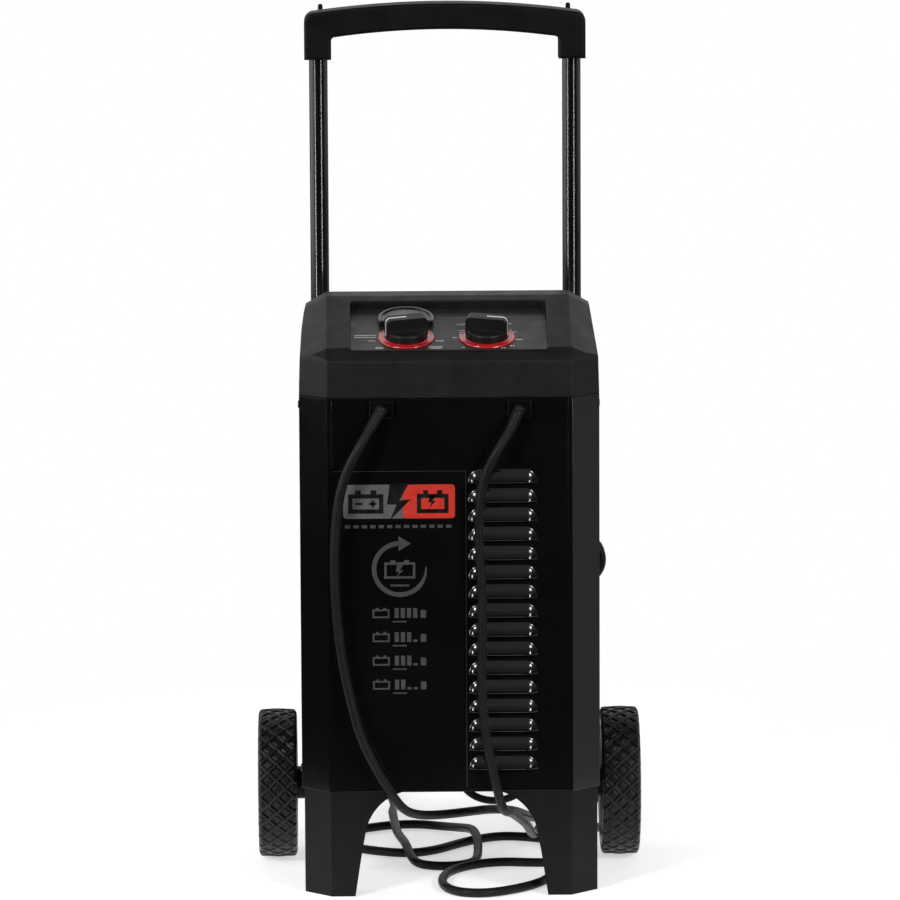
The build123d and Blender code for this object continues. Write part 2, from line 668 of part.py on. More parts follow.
HOOK_X = 127.0
HOOK_TIP = 877.5
HOOK_ARM_Z = 852.0
for side, sign in SIDES.items():
    with BuildPart() as hook:
        # an upturned peg behind each end of the grip, for hanging the clamps
        back = at_depth(TUBE_DEPTH + GRIP_THICKNESS / 2)
        with BuildSketch(Plane.XZ.offset(-back)):
            with Locations((sign * HOOK_X, HOOK_ARM_Z)):
                RectangleRounded(13, 15, 3)
        extrude(amount=-2.5)
        with BuildLine() as hook_path:
            FilletPolyline(
                (sign * HOOK_X, back + 2.0, HOOK_ARM_Z),
                (sign * HOOK_X, back + 15.0, HOOK_ARM_Z),
                (sign * HOOK_X, back + 15.0, HOOK_TIP - 2.5),
                radius=6,
            )
        with BuildSketch(Plane(origin=hook_path.line @ 0, z_dir=hook_path.line % 0)):
            Circle(2.5)
        sweep(path=hook_path.line)
        with Locations((sign * HOOK_X, back + 15.0, HOOK_TIP - 2.5)):
            Sphere(2.5)
    save(hook.part, "cable_hook_" + side)

with BuildPart() as handle_brackets:
    wall = at_depth(BODY_DEPTH - SHEET)
    for x in (-TUBE_SPACING / 2, TUBE_SPACING / 2):
        with Locations((x, wall - 12.8, 455)):
            Box(26, 25.2, 32)
        with BuildSketch(Plane.XY.offset(430)):
            with Locations((x, at_depth(TUBE_DEPTH))):
                Circle(TUBE_RADIUS + FIT_GAP)
        extrude(amount=60, mode=Mode.SUBTRACT)
    with BuildSketch(Plane.XZ.offset(-wall - 1)):
        for x, z in HANDLE_SCREWS:
            with Locations((x, z)):
                Circle(SCREW_RADIUS + FIT_GAP)
    extrude(amount=6, mode=Mode.SUBTRACT)
save(handle_brackets.part, "handle_brackets")


# ---------------------------------------------------------------- screws
def pan_screw(shank):
    """A cross-head pan screw along +Z, its head above the origin."""
    with BuildPart() as screw:
        with BuildSketch():
            Circle(3.9)
        extrude(amount=SCREW_HEAD)
        fillet(screw.edges().filter_by(GeomType.CIRCLE).sort_by(Axis.Z)[-1], radius=0.8)
        with BuildSketch(Plane.XY.offset(SCREW_HEAD + 0.1)):
            Rectangle(4.6, 1.1)
            Rectangle(1.1, 4.6)
        extrude(amount=-1.0, mode=Mode.SUBTRACT)
        with BuildSketch():
            Circle(SCREW_RADIUS)
        extrude(amount=-shank)
    return screw.part


back_plane = at_depth(BODY_DEPTH)
casing_screw = pan_screw(7)
handle_screw = pan_screw(3.4)

with BuildPart() as casing_screws:
    for sign in SIDES.values():
        for depth, z in SIDE_SCREWS:
            with Locations(Plane(origin=point(sign * HALF_WIDTH, depth, z), z_dir=(sign, 0, 0))):
                add(casing_screw)
    for x, z in BACK_SCREWS:
        with Locations(Plane(origin=(x, back_plane, z), z_dir=(0, 1, 0))):
            add(casing_screw)
save(casing_screws.part, "casing_screws")

with BuildPart() as handle_screws:
    for x, z in HANDLE_SCREWS:
        with Locations(Plane(origin=(x, back_plane, z), z_dir=(0, 1, 0))):
            add(handle_screw)
save(handle_screws.part, "handle_screws")

# ---------------------------------------------------------------- inside the cabinet
FLOOR_TOP = BASE_TOP + 3.0
CORE = (120.0, 84.0, 112.0)

with BuildPart() as transformer_core:
    with Locations(point(0, 128, FLOOR_TOP + CORE[2] / 2)):
        Box(*CORE)
    with BuildSketch(Plane.XZ.offset(-at_depth(200))):
        with Locations((0, FLOOR_TOP + CORE[2] / 2)):
            with Locations((-30, 0), (30, 0)):
                Rectangle(22, CORE[2] - 40)
    extrude(amount=200, mode=Mode.SUBTRACT)
save(transformer_core.part, "transformer_core")

with BuildPart() as transformer_windings:
    with Locations(point(0, 128, FLOOR_TOP + CORE[2] / 2)):
        Box(81, CORE[1] + 42, CORE[2] - 41)
        Box(38.4, CORE[1] + 0.4, CORE[2], mode=Mode.SUBTRACT)
    uprights = transformer_windings.edges().filter_by(Axis.Z)
    fillet(uprights.filter_by(lambda edge: abs(edge.center().X) > 30), radius=3)
save(transformer_windings.part, "transformer_windings")

with BuildPart() as rectifier:
    with Locations(point(-60, 128, 330)):
        Box(4, 130, 110)
    with Locations(point(-70, 128, 330)):
        with GridLocations(0, 18, 1, 7):
            Box(18, 2.5, 110)
    with Locations(Plane(origin=point(-58, 128, 330), z_dir=(1, 0, 0))):
        with GridLocations(60, 60, 2, 2):
            Cylinder(8, 9, align=(Align.CENTER, Align.CENTER, Align.MIN))
    with Locations(point(-80, 128, 280)):
        Box(40, 20, 4)
    with Locations(point(-118, 128, 280)):
        Box(60.4, 20, 4)
save(rectifier.part, "rectifier")

# ---------------------------------------------------------------- leads
CLAMP_WIDTH = 30.0  # the clamps lie on their sides, so this is their height on the floor
CLAMP_LIFT = 0.6  # the pins' ends stand this far proud of the arms
CLAMP_MIDDLE = CLAMP_LIFT + CLAMP_WIDTH / 2
# Each lead's route is a list of points by hand: x, depth behind the front face, height.
FLOOR_LEVEL = CABLE_RADIUS
OVER = 3 * CABLE_RADIUS + 0.75  # the height of a lead that lies across another
RELIEF_LENGTH = 26.0
RELIEF_DIRECTION = {"left": (-0.50, -0.30, -0.812), "right": (-0.42, -0.30, -0.857)}

with BuildPart() as cable_grommets:
    for x in GROMMET_X.values():
        with BuildSketch(Plane.XZ.offset(-at_depth(0))):
            with Locations((x, GROMMET_Z)):
                RectangleRounded(24, 18, 2.5)
        extrude(amount=GROMMET_PROUD)
        with BuildSketch(Plane.XZ.offset(-at_depth(8))):
            with Locations((x, GROMMET_Z)):
                Circle(6.9)
        extrude(amount=9)
    fillet(cable_grommets.faces().sort_by(Axis.Y)[0:2].edges(), radius=1.2)
save(cable_grommets.part, "cable_grommets")


def relief_start(side):
    return Vector(*point(GROMMET_X[side], -7.0, GROMMET_Z))


def relief_end(side):
    return relief_start(side) + Vector(*RELIEF_DIRECTION[side]) * RELIEF_LENGTH


for side in SIDES:
    with BuildPart() as relief:
        for along, radius in ((0, 6.5), (RELIEF_LENGTH, CABLE_RADIUS + 0.5)):
            direction = Vector(*RELIEF_DIRECTION[side])
            with BuildSketch(Plane(origin=relief_start(side) + direction * along, z_dir=direction)):
                Circle(radius)
        loft()
    save(relief.part, "strain_relief_" + side)


def corner_radii(points):
    """Each corner's arc: as large as its two runs allow."""
    radii = []
    for before, corner, after in zip(points, points[1:], points[2:]):
        one = Vector(*corner) - Vector(*before)
        two = Vector(*after) - Vector(*corner)
        turn = radians(one.get_angle(two))
        radii.append(0.45 * min(one.length, two.length) / tan(turn / 2))
    return radii


def report_route(name, points, solid, radius):
    """Prints the tube's tightest arcs and compares its volume with its section times its length."""
    lengths = [(Vector(*b) - Vector(*a)).length for a, b in zip(points, points[1:])]
    print(name, "runs", [round(v) for v in lengths])
    print(name, "radii", [round(v) for v in corner_radii(points)])
    print(name, "length", round(solid.volume / (pi * radius**2)), "of", round(sum(lengths)))


LEFT_ROUTE = [
    # down the front panel
    (-91.2, -20.9, 458.4), (-104.5, -19.0, 432.0), (-112.5, -16.0, 398.0), (-116.0, -15.0, 350.0),
    (-114.5, -15.0, 300.0), (-110.0, -15.0, 252.0), (-101.0, -15.5, 206.0), (-91.5, -16.5, 168.0),
    (-76.5, -17.0, 136.0),
    # back under the base, across to the right leg
    (-60.0, -13.5, 107.0), (-47.0, 7.0, 86.0), (-31.0, 38.0, 75.0), (-9.0, 78.0, 67.0), (20.0, 124.0, 60.5),
    (44.0, 172.0, 53.0), (67.0, 222.0, 41.0), (82.0, 278.0, 24.0), (91.0, 330.0, 9.0),
    # a turn on the floor behind the right wheel, then forward behind the leg
    (93.5, 366.0, FLOOR_LEVEL), (96.7, 401.5, FLOOR_LEVEL), (101.0, 431.5, FLOOR_LEVEL),
    (122.0, 453.3, FLOOR_LEVEL), (151.8, 458.5, FLOOR_LEVEL), (179.0, 445.2, FLOOR_LEVEL),
    (193.3, 418.5, FLOOR_LEVEL), (189.0, 388.5, FLOOR_LEVEL), (186.0, 358.0, FLOOR_LEVEL),
    (174.0, 325.0, FLOOR_LEVEL), (158.0, 290.0, 7.0), (145.0, 249.0, OVER), (134.0, 206.0, OVER + 1),
    (125.0, 162.0, OVER + 1), (117.0, 120.0, OVER), (108.0, 84.0, 7.0), (97.0, 52.0, FLOOR_LEVEL),
    # the front loop
    (80.0, 25.0, FLOOR_LEVEL), (57.0, 4.0, FLOOR_LEVEL), (33.0, -9.0, FLOOR_LEVEL), (8.0, -4.0, FLOOR_LEVEL),
    (-6.0, 18.0, FLOOR_LEVEL), (-10.0, 50.0, FLOOR_LEVEL), (-5.0, 85.0, FLOOR_LEVEL), (12.0, 117.0, FLOOR_LEVEL),
    (48.0, 140.0, FLOOR_LEVEL), (92.0, 131.0, FLOOR_LEVEL), (124.0, 136.0, FLOOR_LEVEL),
    (144.0, 160.0, FLOOR_LEVEL), (148.0, 191.0, FLOOR_LEVEL), (135.0, 220.0, FLOOR_LEVEL),
    (111.0, 240.0, FLOOR_LEVEL),
    # across to the left leg and round behind it
    (83.0, 258.0, FLOOR_LEVEL), (56.0, 264.0, FLOOR_LEVEL), (31.0, 250.0, FLOOR_LEVEL),
    (8.0, 225.0, FLOOR_LEVEL), (-13.0, 197.0, FLOOR_LEVEL), (-40.0, 181.0, FLOOR_LEVEL),
    (-68.0, 190.0, FLOOR_LEVEL), (-94.0, 207.0, FLOOR_LEVEL), (-117.0, 232.0, FLOOR_LEVEL),
    (-125.0, 262.0, FLOOR_LEVEL), (-111.0, 290.0, FLOOR_LEVEL), (-86.0, 307.0, FLOOR_LEVEL),
    (-61.0, 322.0, FLOOR_LEVEL),
    # the middle loop, which crosses over the last stretch twice and over itself
    (-32.0, 327.0, FLOOR_LEVEL), (-5.0, 314.0, FLOOR_LEVEL), (14.0, 288.0, 8.5), (25.0, 254.0, OVER),
    (29.5, 217.0, OVER), (30.0, 182.0, 8.0), (28.0, 152.0, FLOOR_LEVEL), (21.5, 132.0, FLOOR_LEVEL),
    (4.5, 119.7, FLOOR_LEVEL), (-16.5, 119.7, FLOOR_LEVEL), (-33.5, 132.0, FLOOR_LEVEL), (-40.0, 152.0, 7.5),
    (-45.0, 184.0, OVER), (-50.5, 222.0, OVER - 1), (-54.0, 262.0, 11.0), (-56.5, 302.0, OVER),
    (-58.0, 342.0, OVER), (-57.0, 382.0, 8.0), (-55.0, 422.0, FLOOR_LEVEL + 0.5), (-60.0, 460.0, 10.0),
    (-70.0, 492.0, CLAMP_MIDDLE),
]

RIGHT_ROUTE = [
    # down the front panel, over the louvres
    (46.0, -20.6, 455.0), (34.0, -19.5, 431.0), (28.6, -17.0, 398.0), (28.7, -16.5, 354.0),
    (32.0, -16.5, 308.0), (31.5, -16.5, 258.0), (30.5, -16.5, 212.0), (34.0, -17.0, 168.0),
    (41.5, -17.5, 132.0),
    # back under the base
    (47.5, -11.0, 103.0), (53.0, 11.0, 84.0), (60.5, 46.0, 76.0), (69.0, 92.0, 61.0), (79.5, 142.0, 43.0),
    (85.0, 186.0, 24.0), (90.5, 224.0, OVER), (96.0, 264.0, OVER), (103.0, 306.0, 6.5),
    (109.0, 348.0, FLOOR_LEVEL), (113.0, 390.0, 7.5), (119.5, 430.0, OVER), (127.0, 470.0, OVER),
    (134.0, 508.0, 7.0), (137.0, 538.0, FLOOR_LEVEL),
]


def route_points(side, route):
    start = relief_end(side)
    return [tuple(start)] + [point(*spot) for spot in route]


# the put-away coil of the right lead: two turns wide and three high
COIL_X = 81.35
COIL_DEPTH = 566.0
COIL_MIDDLE = 51.0
COIL_TURNS_HIGH = 3
COIL_PITCH = 2 * CABLE_RADIUS

ROUTES = {
    "left": route_points("left", LEFT_ROUTE),
    "right": route_points("right", RIGHT_ROUTE) + [point(COIL_X + COIL_MIDDLE + CABLE_RADIUS, COIL_DEPTH, FLOOR_LEVEL)],
}

for side, route in ROUTES.items():
    with BuildPart() as cable:
        with BuildLine() as cable_path:
            FilletPolyline(*route, radius=corner_radii(route))
        with BuildSketch(Plane(origin=cable_path.line @ 0, z_dir=cable_path.line % 0)):
            Circle(CABLE_RADIUS)
        sweep(path=cable_path.line)
    report_route("dc_cable_" + side, route, cable.part, CABLE_RADIUS)
    save(cable.part, "dc_cable_" + side)

with BuildPart() as dc_coil:
    with BuildSketch(Plane.XY):
        with Locations((COIL_X, at_depth(COIL_DEPTH))):
            Circle(COIL_MIDDLE + COIL_PITCH)
            Circle(COIL_MIDDLE - COIL_PITCH, mode=Mode.SUBTRACT)
    extrude(amount=COIL_TURNS_HIGH * COIL_PITCH)
save(dc_coil.part, "dc_coil_right")

# the last stretch, from the coil's second layer to the clamp
COIL_EXIT_DEPTH = COIL_DEPTH + COIL_MIDDLE + CABLE_RADIUS
TAIL_ROUTE = [
    point(COIL_X, COIL_EXIT_DEPTH, 3 * CABLE_RADIUS),
    point(COIL_X - 31, COIL_EXIT_DEPTH + 0.8, 14.3),
    point(COIL_X - 63, COIL_EXIT_DEPTH + 4.0, 15.0),
    point(COIL_X - 95, COIL_EXIT_DEPTH + 9.0, CLAMP_MIDDLE),
]
with BuildPart() as dc_tail:
    with BuildLine() as tail_path:
        FilletPolyline(*TAIL_ROUTE, radius=corner_radii(TAIL_ROUTE))
    with BuildSketch(Plane(origin=tail_path.line @ 0, z_dir=tail_path.line % 0)):
        Circle(CABLE_RADIUS)
    sweep(path=tail_path.line)
report_route("dc_tail_right", TAIL_ROUTE, dc_tail.part, CABLE_RADIUS)
save(dc_tail.part, "dc_tail_right")

# ---------------------------------------------------------------- battery clamps
CLAMP_LENGTH = 150.0
CLAMP_PIVOT = 84.0
EAR = 3.0
EAR_RADIUS = 8.0
PIN_RADIUS = 3.0
ARM = [(2, 31), (30, 26), (60, 18.5), (84, 14.5), (104, 19), (124, 20), (140, 12), (CLAMP_LENGTH, 0.2)]
ARM_CABLE = 28.2  # the cable's distance from the clamp's centre line
ARM_INNER = [(142, 0.2), (134, 7), (122, 14.5), (104, 13.5), (84, 9.5), (60, 13.0), (30, 20.5), (2, 25.5)]


CABLE_SIDE = {"left": -1, "right": 1}  # which side of each clamp its fixed, cabled arm is on


def clamp_plane(side, cable_end, heading):
    """A clamp's plane on the floor: x runs from its cable end to its jaws, and the fixed arm holds the cable."""
    at_end = turned_plane(Plane(origin=(cable_end[0], cable_end[1], 0)), heading)
    middle = at_end.origin - at_end.x_dir * ARM[0][0] - at_end.y_dir * ARM_CABLE * CABLE_SIDE[side]
    return Plane(origin=middle, x_dir=at_end.x_dir, z_dir=(0, 0, 1))


CLAMPS = {
    "left": clamp_plane("left", ROUTES["left"][-1], 107.3),
    "right": clamp_plane("right", TAIL_ROUTE[-1], 171.1),
}

for side, plane in CLAMPS.items():
    for arm, sign in {"fixed": CABLE_SIDE[side], "moving": -CABLE_SIDE[side]}.items():
        low = CLAMP_LIFT if arm == "fixed" else CLAMP_LIFT + EAR + 0.4
        with BuildPart() as jaw:
            with BuildSketch(plane.offset(CLAMP_LIFT)):
                with BuildLine():
                    Polyline(*[(x, sign * y) for x, y in ARM + ARM_INNER], close=True)
                make_face()
            extrude(amount=CLAMP_WIDTH)
            for level in (low, 2 * CLAMP_MIDDLE - low - EAR):
                with BuildSketch(plane.offset(level)):
                    with Locations((CLAMP_PIVOT, 0)):
                        Circle(EAR_RADIUS)
                    with Locations((CLAMP_PIVOT, sign * 6)):
                        Rectangle(12, 12)
                    with Locations((CLAMP_PIVOT, 0)):
                        Circle(PIN_RADIUS + RUNNING_GAP, mode=Mode.SUBTRACT)
                extrude(amount=EAR)
        save(jaw.part, "clamp_" + side + "_" + arm)

    with BuildPart() as pin:
        with BuildSketch(plane):
            with Locations((CLAMP_PIVOT, 0)):
                Circle(PIN_RADIUS)
        extrude(amount=2 * CLAMP_MIDDLE)
    save(pin.part, "clamp_" + side + "_pin")

    with BuildPart() as spring:
        with BuildSketch(plane.offset(9.6)):
            with Locations((CLAMP_PIVOT, 0)):
                Circle(6.4)
                Circle(PIN_RADIUS + RUNNING_GAP, mode=Mode.SUBTRACT)
        extrude(amount=12)
    save(spring.part, "clamp_" + side + "_spring")

# ---------------------------------------------------------------- mains lead
HANK_Z = 299.0
HANK_LEFT = -113.0  # the centres of the hank's round ends
HANK_RIGHT = 138.0
HANK_RADIUS = 24.0
HANK_FRONT = 250.0
HANK_STRANDS = 3
MAINS_PITCH = 2 * MAINS_RADIUS + 0.05
HOOK_CENTRE = 113.0
GLAND_Z = 135.0

with BuildPart() as mains_hank:
    with BuildSketch(Plane.XZ.offset(-at_depth(HANK_FRONT + HANK_STRANDS * MAINS_PITCH))):
        with Locations(((HANK_LEFT + HANK_RIGHT) / 2, HANK_Z)):
            for shrink, mode in ((-MAINS_RADIUS, Mode.ADD), (MAINS_RADIUS, Mode.SUBTRACT)):
                SlotCenterToCenter(HANK_RIGHT - HANK_LEFT, 2 * (HANK_RADIUS - shrink), mode=mode)
    extrude(amount=HANK_STRANDS * MAINS_PITCH)
save(mains_hank.part, "mains_hank")

with BuildPart() as cord_hooks:
    for sign in SIDES.values():
        centre = (sign * (HOOK_CENTRE - 9), HANK_Z)
        with BuildSketch(Plane.XZ.offset(-at_depth(BODY_DEPTH + 3))):
            with Locations(centre):
                RectangleRounded(46, 56, 5)
        extrude(amount=3)
        with BuildSketch(Plane.XZ.offset(-at_depth(WHEEL_BACK))):
            with Locations(centre):
                SlotCenterToCenter(12, 36)
                SlotCenterToCenter(12, 29, mode=Mode.SUBTRACT)
        extrude(amount=WHEEL_BACK - BODY_DEPTH - 1)
        with BuildSketch(Plane.XZ.offset(-at_depth(WHEEL_BACK))):
            with Locations(centre):
                SlotCenterToCenter(12, 58)
                SlotCenterToCenter(12, 29, mode=Mode.SUBTRACT)
        extrude(amount=2.2)
save(cord_hooks.part, "cord_hooks")

with BuildPart() as mains_gland:
    with BuildSketch(Plane.XZ.offset(-at_depth(BODY_DEPTH + 4))):
        with Locations((0, GLAND_Z)):
            RegularPolygon(11, 6)
    extrude(amount=4)
    for depth, radius in ((BODY_DEPTH + 4, 7.5), (BODY_DEPTH + 26, MAINS_RADIUS + 0.4)):
        with BuildSketch(Plane.XZ.offset(-at_depth(depth))):
            with Locations((0, GLAND_Z)):
                Circle(radius)
    loft()
save(mains_gland.part, "mains_gland")

MAINS_ROUTE = [
    (0.0, BODY_DEPTH + 26, GLAND_Z), (0.0, 287.0, 134.0), (0.5, 304.0, 128.0), (1.5, 317.0, 115.0),
    (3.0, 324.0, 97.0), (5.0, 324.5, 77.0), (10.5, 322.0, 56.0), (23.0, 318.0, 38.0), (44.0, 313.0, 31.0),
    (67.0, 308.0, 35.0), (86.0, 303.0, 50.5), (95.5, 298.0, 76.0), (95.0, 293.0, 108.0),
    (86.0, 288.0, 142.0), (74.0, 282.0, 176.0), (63.0, 276.5, 208.0), (57.5, 273.0, 236.0), (62.5, 271.0, 258.5),
    (78.5, 270.3, 272.0), (HANK_RIGHT - 33, HANK_FRONT + (HANK_STRANDS - 0.5) * MAINS_PITCH, HANK_Z - HANK_RADIUS),
]
mains_route = [point(*spot) for spot in MAINS_ROUTE]
with BuildPart() as mains_cord:
    with BuildLine() as mains_path:
        FilletPolyline(*mains_route, radius=corner_radii(mains_route))
    with BuildSketch(Plane(origin=mains_path.line @ 0, z_dir=mains_path.line % 0)):
        Circle(MAINS_RADIUS)
    sweep(path=mains_path.line)
report_route("mains_cord", mains_route, mains_cord.part, MAINS_RADIUS)
save(mains_cord.part, "mains_cord")

PLUG_X = HANK_LEFT - HANK_RADIUS
PLUG_TOP = HANK_Z
PLUG_DEPTH = HANK_FRONT + MAINS_PITCH / 2
with BuildPart() as mains_plug:
    for z, width, thick in ((PLUG_TOP - 3, 8.4, 8.4), (PLUG_TOP - 34, 15, 11), (PLUG_TOP - 37, 21, 17)):
        with BuildSketch(Plane.XY.offset(z)):
            with Locations((PLUG_X, at_depth(PLUG_DEPTH + 1.2))):
                RectangleRounded(width, thick, width * 0.3)
    loft(ruled=True)
    with BuildSketch(Plane.XY.offset(PLUG_TOP - 37)):
        with Locations((PLUG_X, at_depth(PLUG_DEPTH + 1.2))):
            RectangleRounded(21, 17, 5)
    extrude(amount=-22)
    with BuildSketch(Plane.XY.offset(PLUG_TOP - 59)):
        with Locations((PLUG_X, at_depth(PLUG_DEPTH - 1))):
            with Locations((-6.3, 0), (6.3, 0)):
                Rectangle(1.5, 6.3)
    extrude(amount=-16)
    with BuildSketch(Plane.XY.offset(PLUG_TOP - 59)):
        with Locations((PLUG_X, at_depth(PLUG_DEPTH + 6))):
            Circle(2.4)
    extrude(amount=-19)
save(mains_plug.part, "mains_plug")
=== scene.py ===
"""Looks of the wheeled car battery charger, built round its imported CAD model.

Metres, with +X to the right, +Y to the back and +Z up. What is drawn in millimetres says so.
"""
from math import cos, pi, radians, sin

import bmesh
import bpy
from mathutils import Matrix, Vector


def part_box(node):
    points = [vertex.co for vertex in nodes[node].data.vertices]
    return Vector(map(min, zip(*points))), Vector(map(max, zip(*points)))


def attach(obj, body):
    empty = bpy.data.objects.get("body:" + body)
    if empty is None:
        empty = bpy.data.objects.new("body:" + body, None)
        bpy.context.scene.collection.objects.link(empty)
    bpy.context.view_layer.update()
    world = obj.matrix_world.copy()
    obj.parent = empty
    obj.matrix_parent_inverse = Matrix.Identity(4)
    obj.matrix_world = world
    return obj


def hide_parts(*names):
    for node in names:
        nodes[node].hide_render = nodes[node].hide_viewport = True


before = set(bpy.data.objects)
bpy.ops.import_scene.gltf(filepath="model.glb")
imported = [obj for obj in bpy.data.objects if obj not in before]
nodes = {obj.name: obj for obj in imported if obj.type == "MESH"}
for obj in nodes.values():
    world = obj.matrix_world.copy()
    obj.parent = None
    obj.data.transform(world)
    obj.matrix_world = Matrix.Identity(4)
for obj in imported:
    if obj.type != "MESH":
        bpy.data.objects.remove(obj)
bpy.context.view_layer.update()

MM = 0.001
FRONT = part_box("cabinet_shell")[0].y  # the cabinet's front face


def at(x, depth, z):
    """A point in the frame from millimetres: across, behind the cabinet's front face, and up."""
    return Vector((x * MM, FRONT + depth * MM, z * MM))


# ------------------------------------------------------------------ materials
class Look:
    """A small builder for procedural materials."""

    def __init__(self, name):
        self.material = bpy.data.materials.new(name)
        self.material.use_nodes = True
        self.tree = self.material.node_tree
        self.shader = self.tree.nodes["Principled BSDF"]
        self.coords = self.node("ShaderNodeTexCoord").outputs["Object"]
        self.normal = None

    def node(self, kind, **settings):
        made = self.tree.nodes.new(kind)
        for key, value in settings.items():
            setattr(made, key, value)
        return made

    def link(self, output, target):
        self.tree.links.new(output, target)

    def noise(self, scale, detail=4.0, rough=0.55, stretch=(1, 1, 1)):
        mapping = self.node("ShaderNodeMapping")
        mapping.inputs["Scale"].default_value = stretch
        self.link(self.coords, mapping.inputs["Vector"])
        made = self.node("ShaderNodeTexNoise")
        made.inputs["Scale"].default_value = scale
        made.inputs["Detail"].default_value = detail
        made.inputs["Roughness"].default_value = rough
        self.link(mapping.outputs["Vector"], made.inputs["Vector"])
        return made.outputs["Fac"]

    def cells(self, scale):
        made = self.node("ShaderNodeTexVoronoi")
        made.inputs["Scale"].default_value = scale
        self.link(self.coords, made.inputs["Vector"])
        return made.outputs["Distance"]

    def ramp(self, source, low, high, start=0.35, end=0.65):
        made = self.node("ShaderNodeValToRGB")
        first, last = made.color_ramp.elements
        first.position = start
        last.position = end
        first.color = (*low, 1)
        last.color = (*high, 1)
        self.link(source, made.inputs["Fac"])
        return made.outputs["Color"]

    def spread(self, source, low, high):
        made = self.node("ShaderNodeMapRange")
        made.inputs["From Min"].default_value = 0.3
        made.inputs["From Max"].default_value = 0.7
        made.inputs["To Min"].default_value = low
        made.inputs["To Max"].default_value = high
        self.link(source, made.inputs["Value"])
        return made.outputs["Result"]

    def edges(self, radius):
        made = self.node("ShaderNodeBevel", samples=6)
        made.inputs["Radius"].default_value = radius
        self.normal = made.outputs["Normal"]

    def bump(self, source, distance, strength=1.0):
        made = self.node("ShaderNodeBump")
        made.inputs["Distance"].default_value = distance
        made.inputs["Strength"].default_value = strength
        self.link(source, made.inputs["Height"])
        if self.normal is not None:
            self.link(self.normal, made.inputs["Normal"])
        self.normal = made.outputs["Normal"]

    def finish(self, colour, gloss, metallic=0.0, specular=0.5, coat=0.0, coat_rough=0.1, sheen=0.0):
        self.link(colour, self.shader.inputs["Base Color"])
        self.link(gloss, self.shader.inputs["Roughness"])
        self.shader.inputs["Metallic"].default_value = metallic
        self.shader.inputs["Specular IOR Level"].default_value = specular
        self.shader.inputs["Coat Weight"].default_value = coat
        self.shader.inputs["Coat Roughness"].default_value = coat_rough
        self.shader.inputs["Sheen Weight"].default_value = sheen
        if self.normal is not None:
            self.link(self.normal, self.shader.inputs["Normal"])
        return self.material


def grey(level, tint=0.0):
    return (level * (1 + tint), level, level * (1 - tint))


def plastic(name, low, high, rough, grain, depth, edge=0.0006, specular=0.5, coat=0.0):
    """Moulded plastic with a fine grain, slightly uneven colour and gloss."""
    look = Look(name)
    look.edges(edge)
    look.bump(look.noise(22, 3), 0.0004, 0.25)
    look.bump(look.cells(grain), depth, 0.5)
    colour = look.ramp(look.noise(35, 6), low, high)
    gloss = look.spread(look.noise(60, 5), rough - 0.06, rough + 0.07)
    return look.finish(colour, gloss, specular=specular, coat=coat)


def paint(name, low, high, rough, peel=0.00005, specular=0.5, coat=0.0):
    """Gloss enamel on sheet steel: a faint orange peel, dust and rubbed patches."""
    look = Look(name)
    look.edges(0.0008)
    look.bump(look.noise(420, 2), peel, 0.6)
    colour = look.ramp(look.noise(9, 8, 0.7), low, high)
    gloss = look.spread(look.noise(14, 9, 0.75), rough * 0.8, rough * 1.35)
    return look.finish(colour, gloss, specular=specular, coat=coat, coat_rough=0.05)


def rubber(name, low, high, rough, grain, depth, sheen=0.15, specular=0.3):
    """Rubber or soft vinyl with a fine grain and a dusty, uneven gloss."""
    look = Look(name)
    look.bump(look.noise(130, 4), 0.0003, 0.3)
    look.bump(look.noise(grain, 3), depth, 0.6)
    colour = look.ramp(look.noise(48, 7, 0.7), low, high)
    gloss = look.spread(look.noise(90, 5), rough - 0.08, rough + 0.1)
    return look.finish(colour, gloss, specular=specular, sheen=sheen)


def metal(name, low, high, rough, stretch=(1, 1, 1)):
    """Bare or plated metal with fine scratches, drawn out where stretch says."""
    look = Look(name)
    look.edges(0.0004)
    look.bump(look.noise(600, 3, 0.6, stretch), 0.00006, 0.5)
    colour = look.ramp(look.noise(40, 6), low, high)
    gloss = look.spread(look.noise(200, 5, 0.6, stretch), rough * 0.7, rough * 1.4)
    return look.finish(colour, gloss, metallic=1.0)


def mark(name, colour, rough=0.5):
    """Screen-printed ink: flat colour with a slightly worn, uneven surface."""
    look = Look(name)
    look.bump(look.noise(1400, 2), 0.00002, 0.5)
    worn = tuple(channel * 0.8 for channel in colour)
    ink = look.ramp(look.noise(160, 8, 0.7), worn, colour)
    return look.finish(ink, look.spread(look.noise(80, 3), rough - 0.1, rough + 0.1))


def clear_lens(name):
    """Clear plastic with faint waves and fingermarks."""
    look = Look(name)
    look.bump(look.noise(60, 2), 0.00002, 0.2)
    colour = look.ramp(look.noise(30, 4), grey(0.88), grey(0.95))
    look.shader.inputs["Transmission Weight"].default_value = 1.0
    look.shader.inputs["IOR"].default_value = 1.3
    return look.finish(colour, look.spread(look.noise(40, 5), 0.02, 0.05))


CABINET = paint("cabinet_paint", grey(0.0026), grey(0.0038, 0.05), rough=0.14, specular=0.42, coat=0.35)
TUBE = paint("tube_enamel", grey(0.003), grey(0.005), rough=0.15, peel=0.000002, specular=0.5)

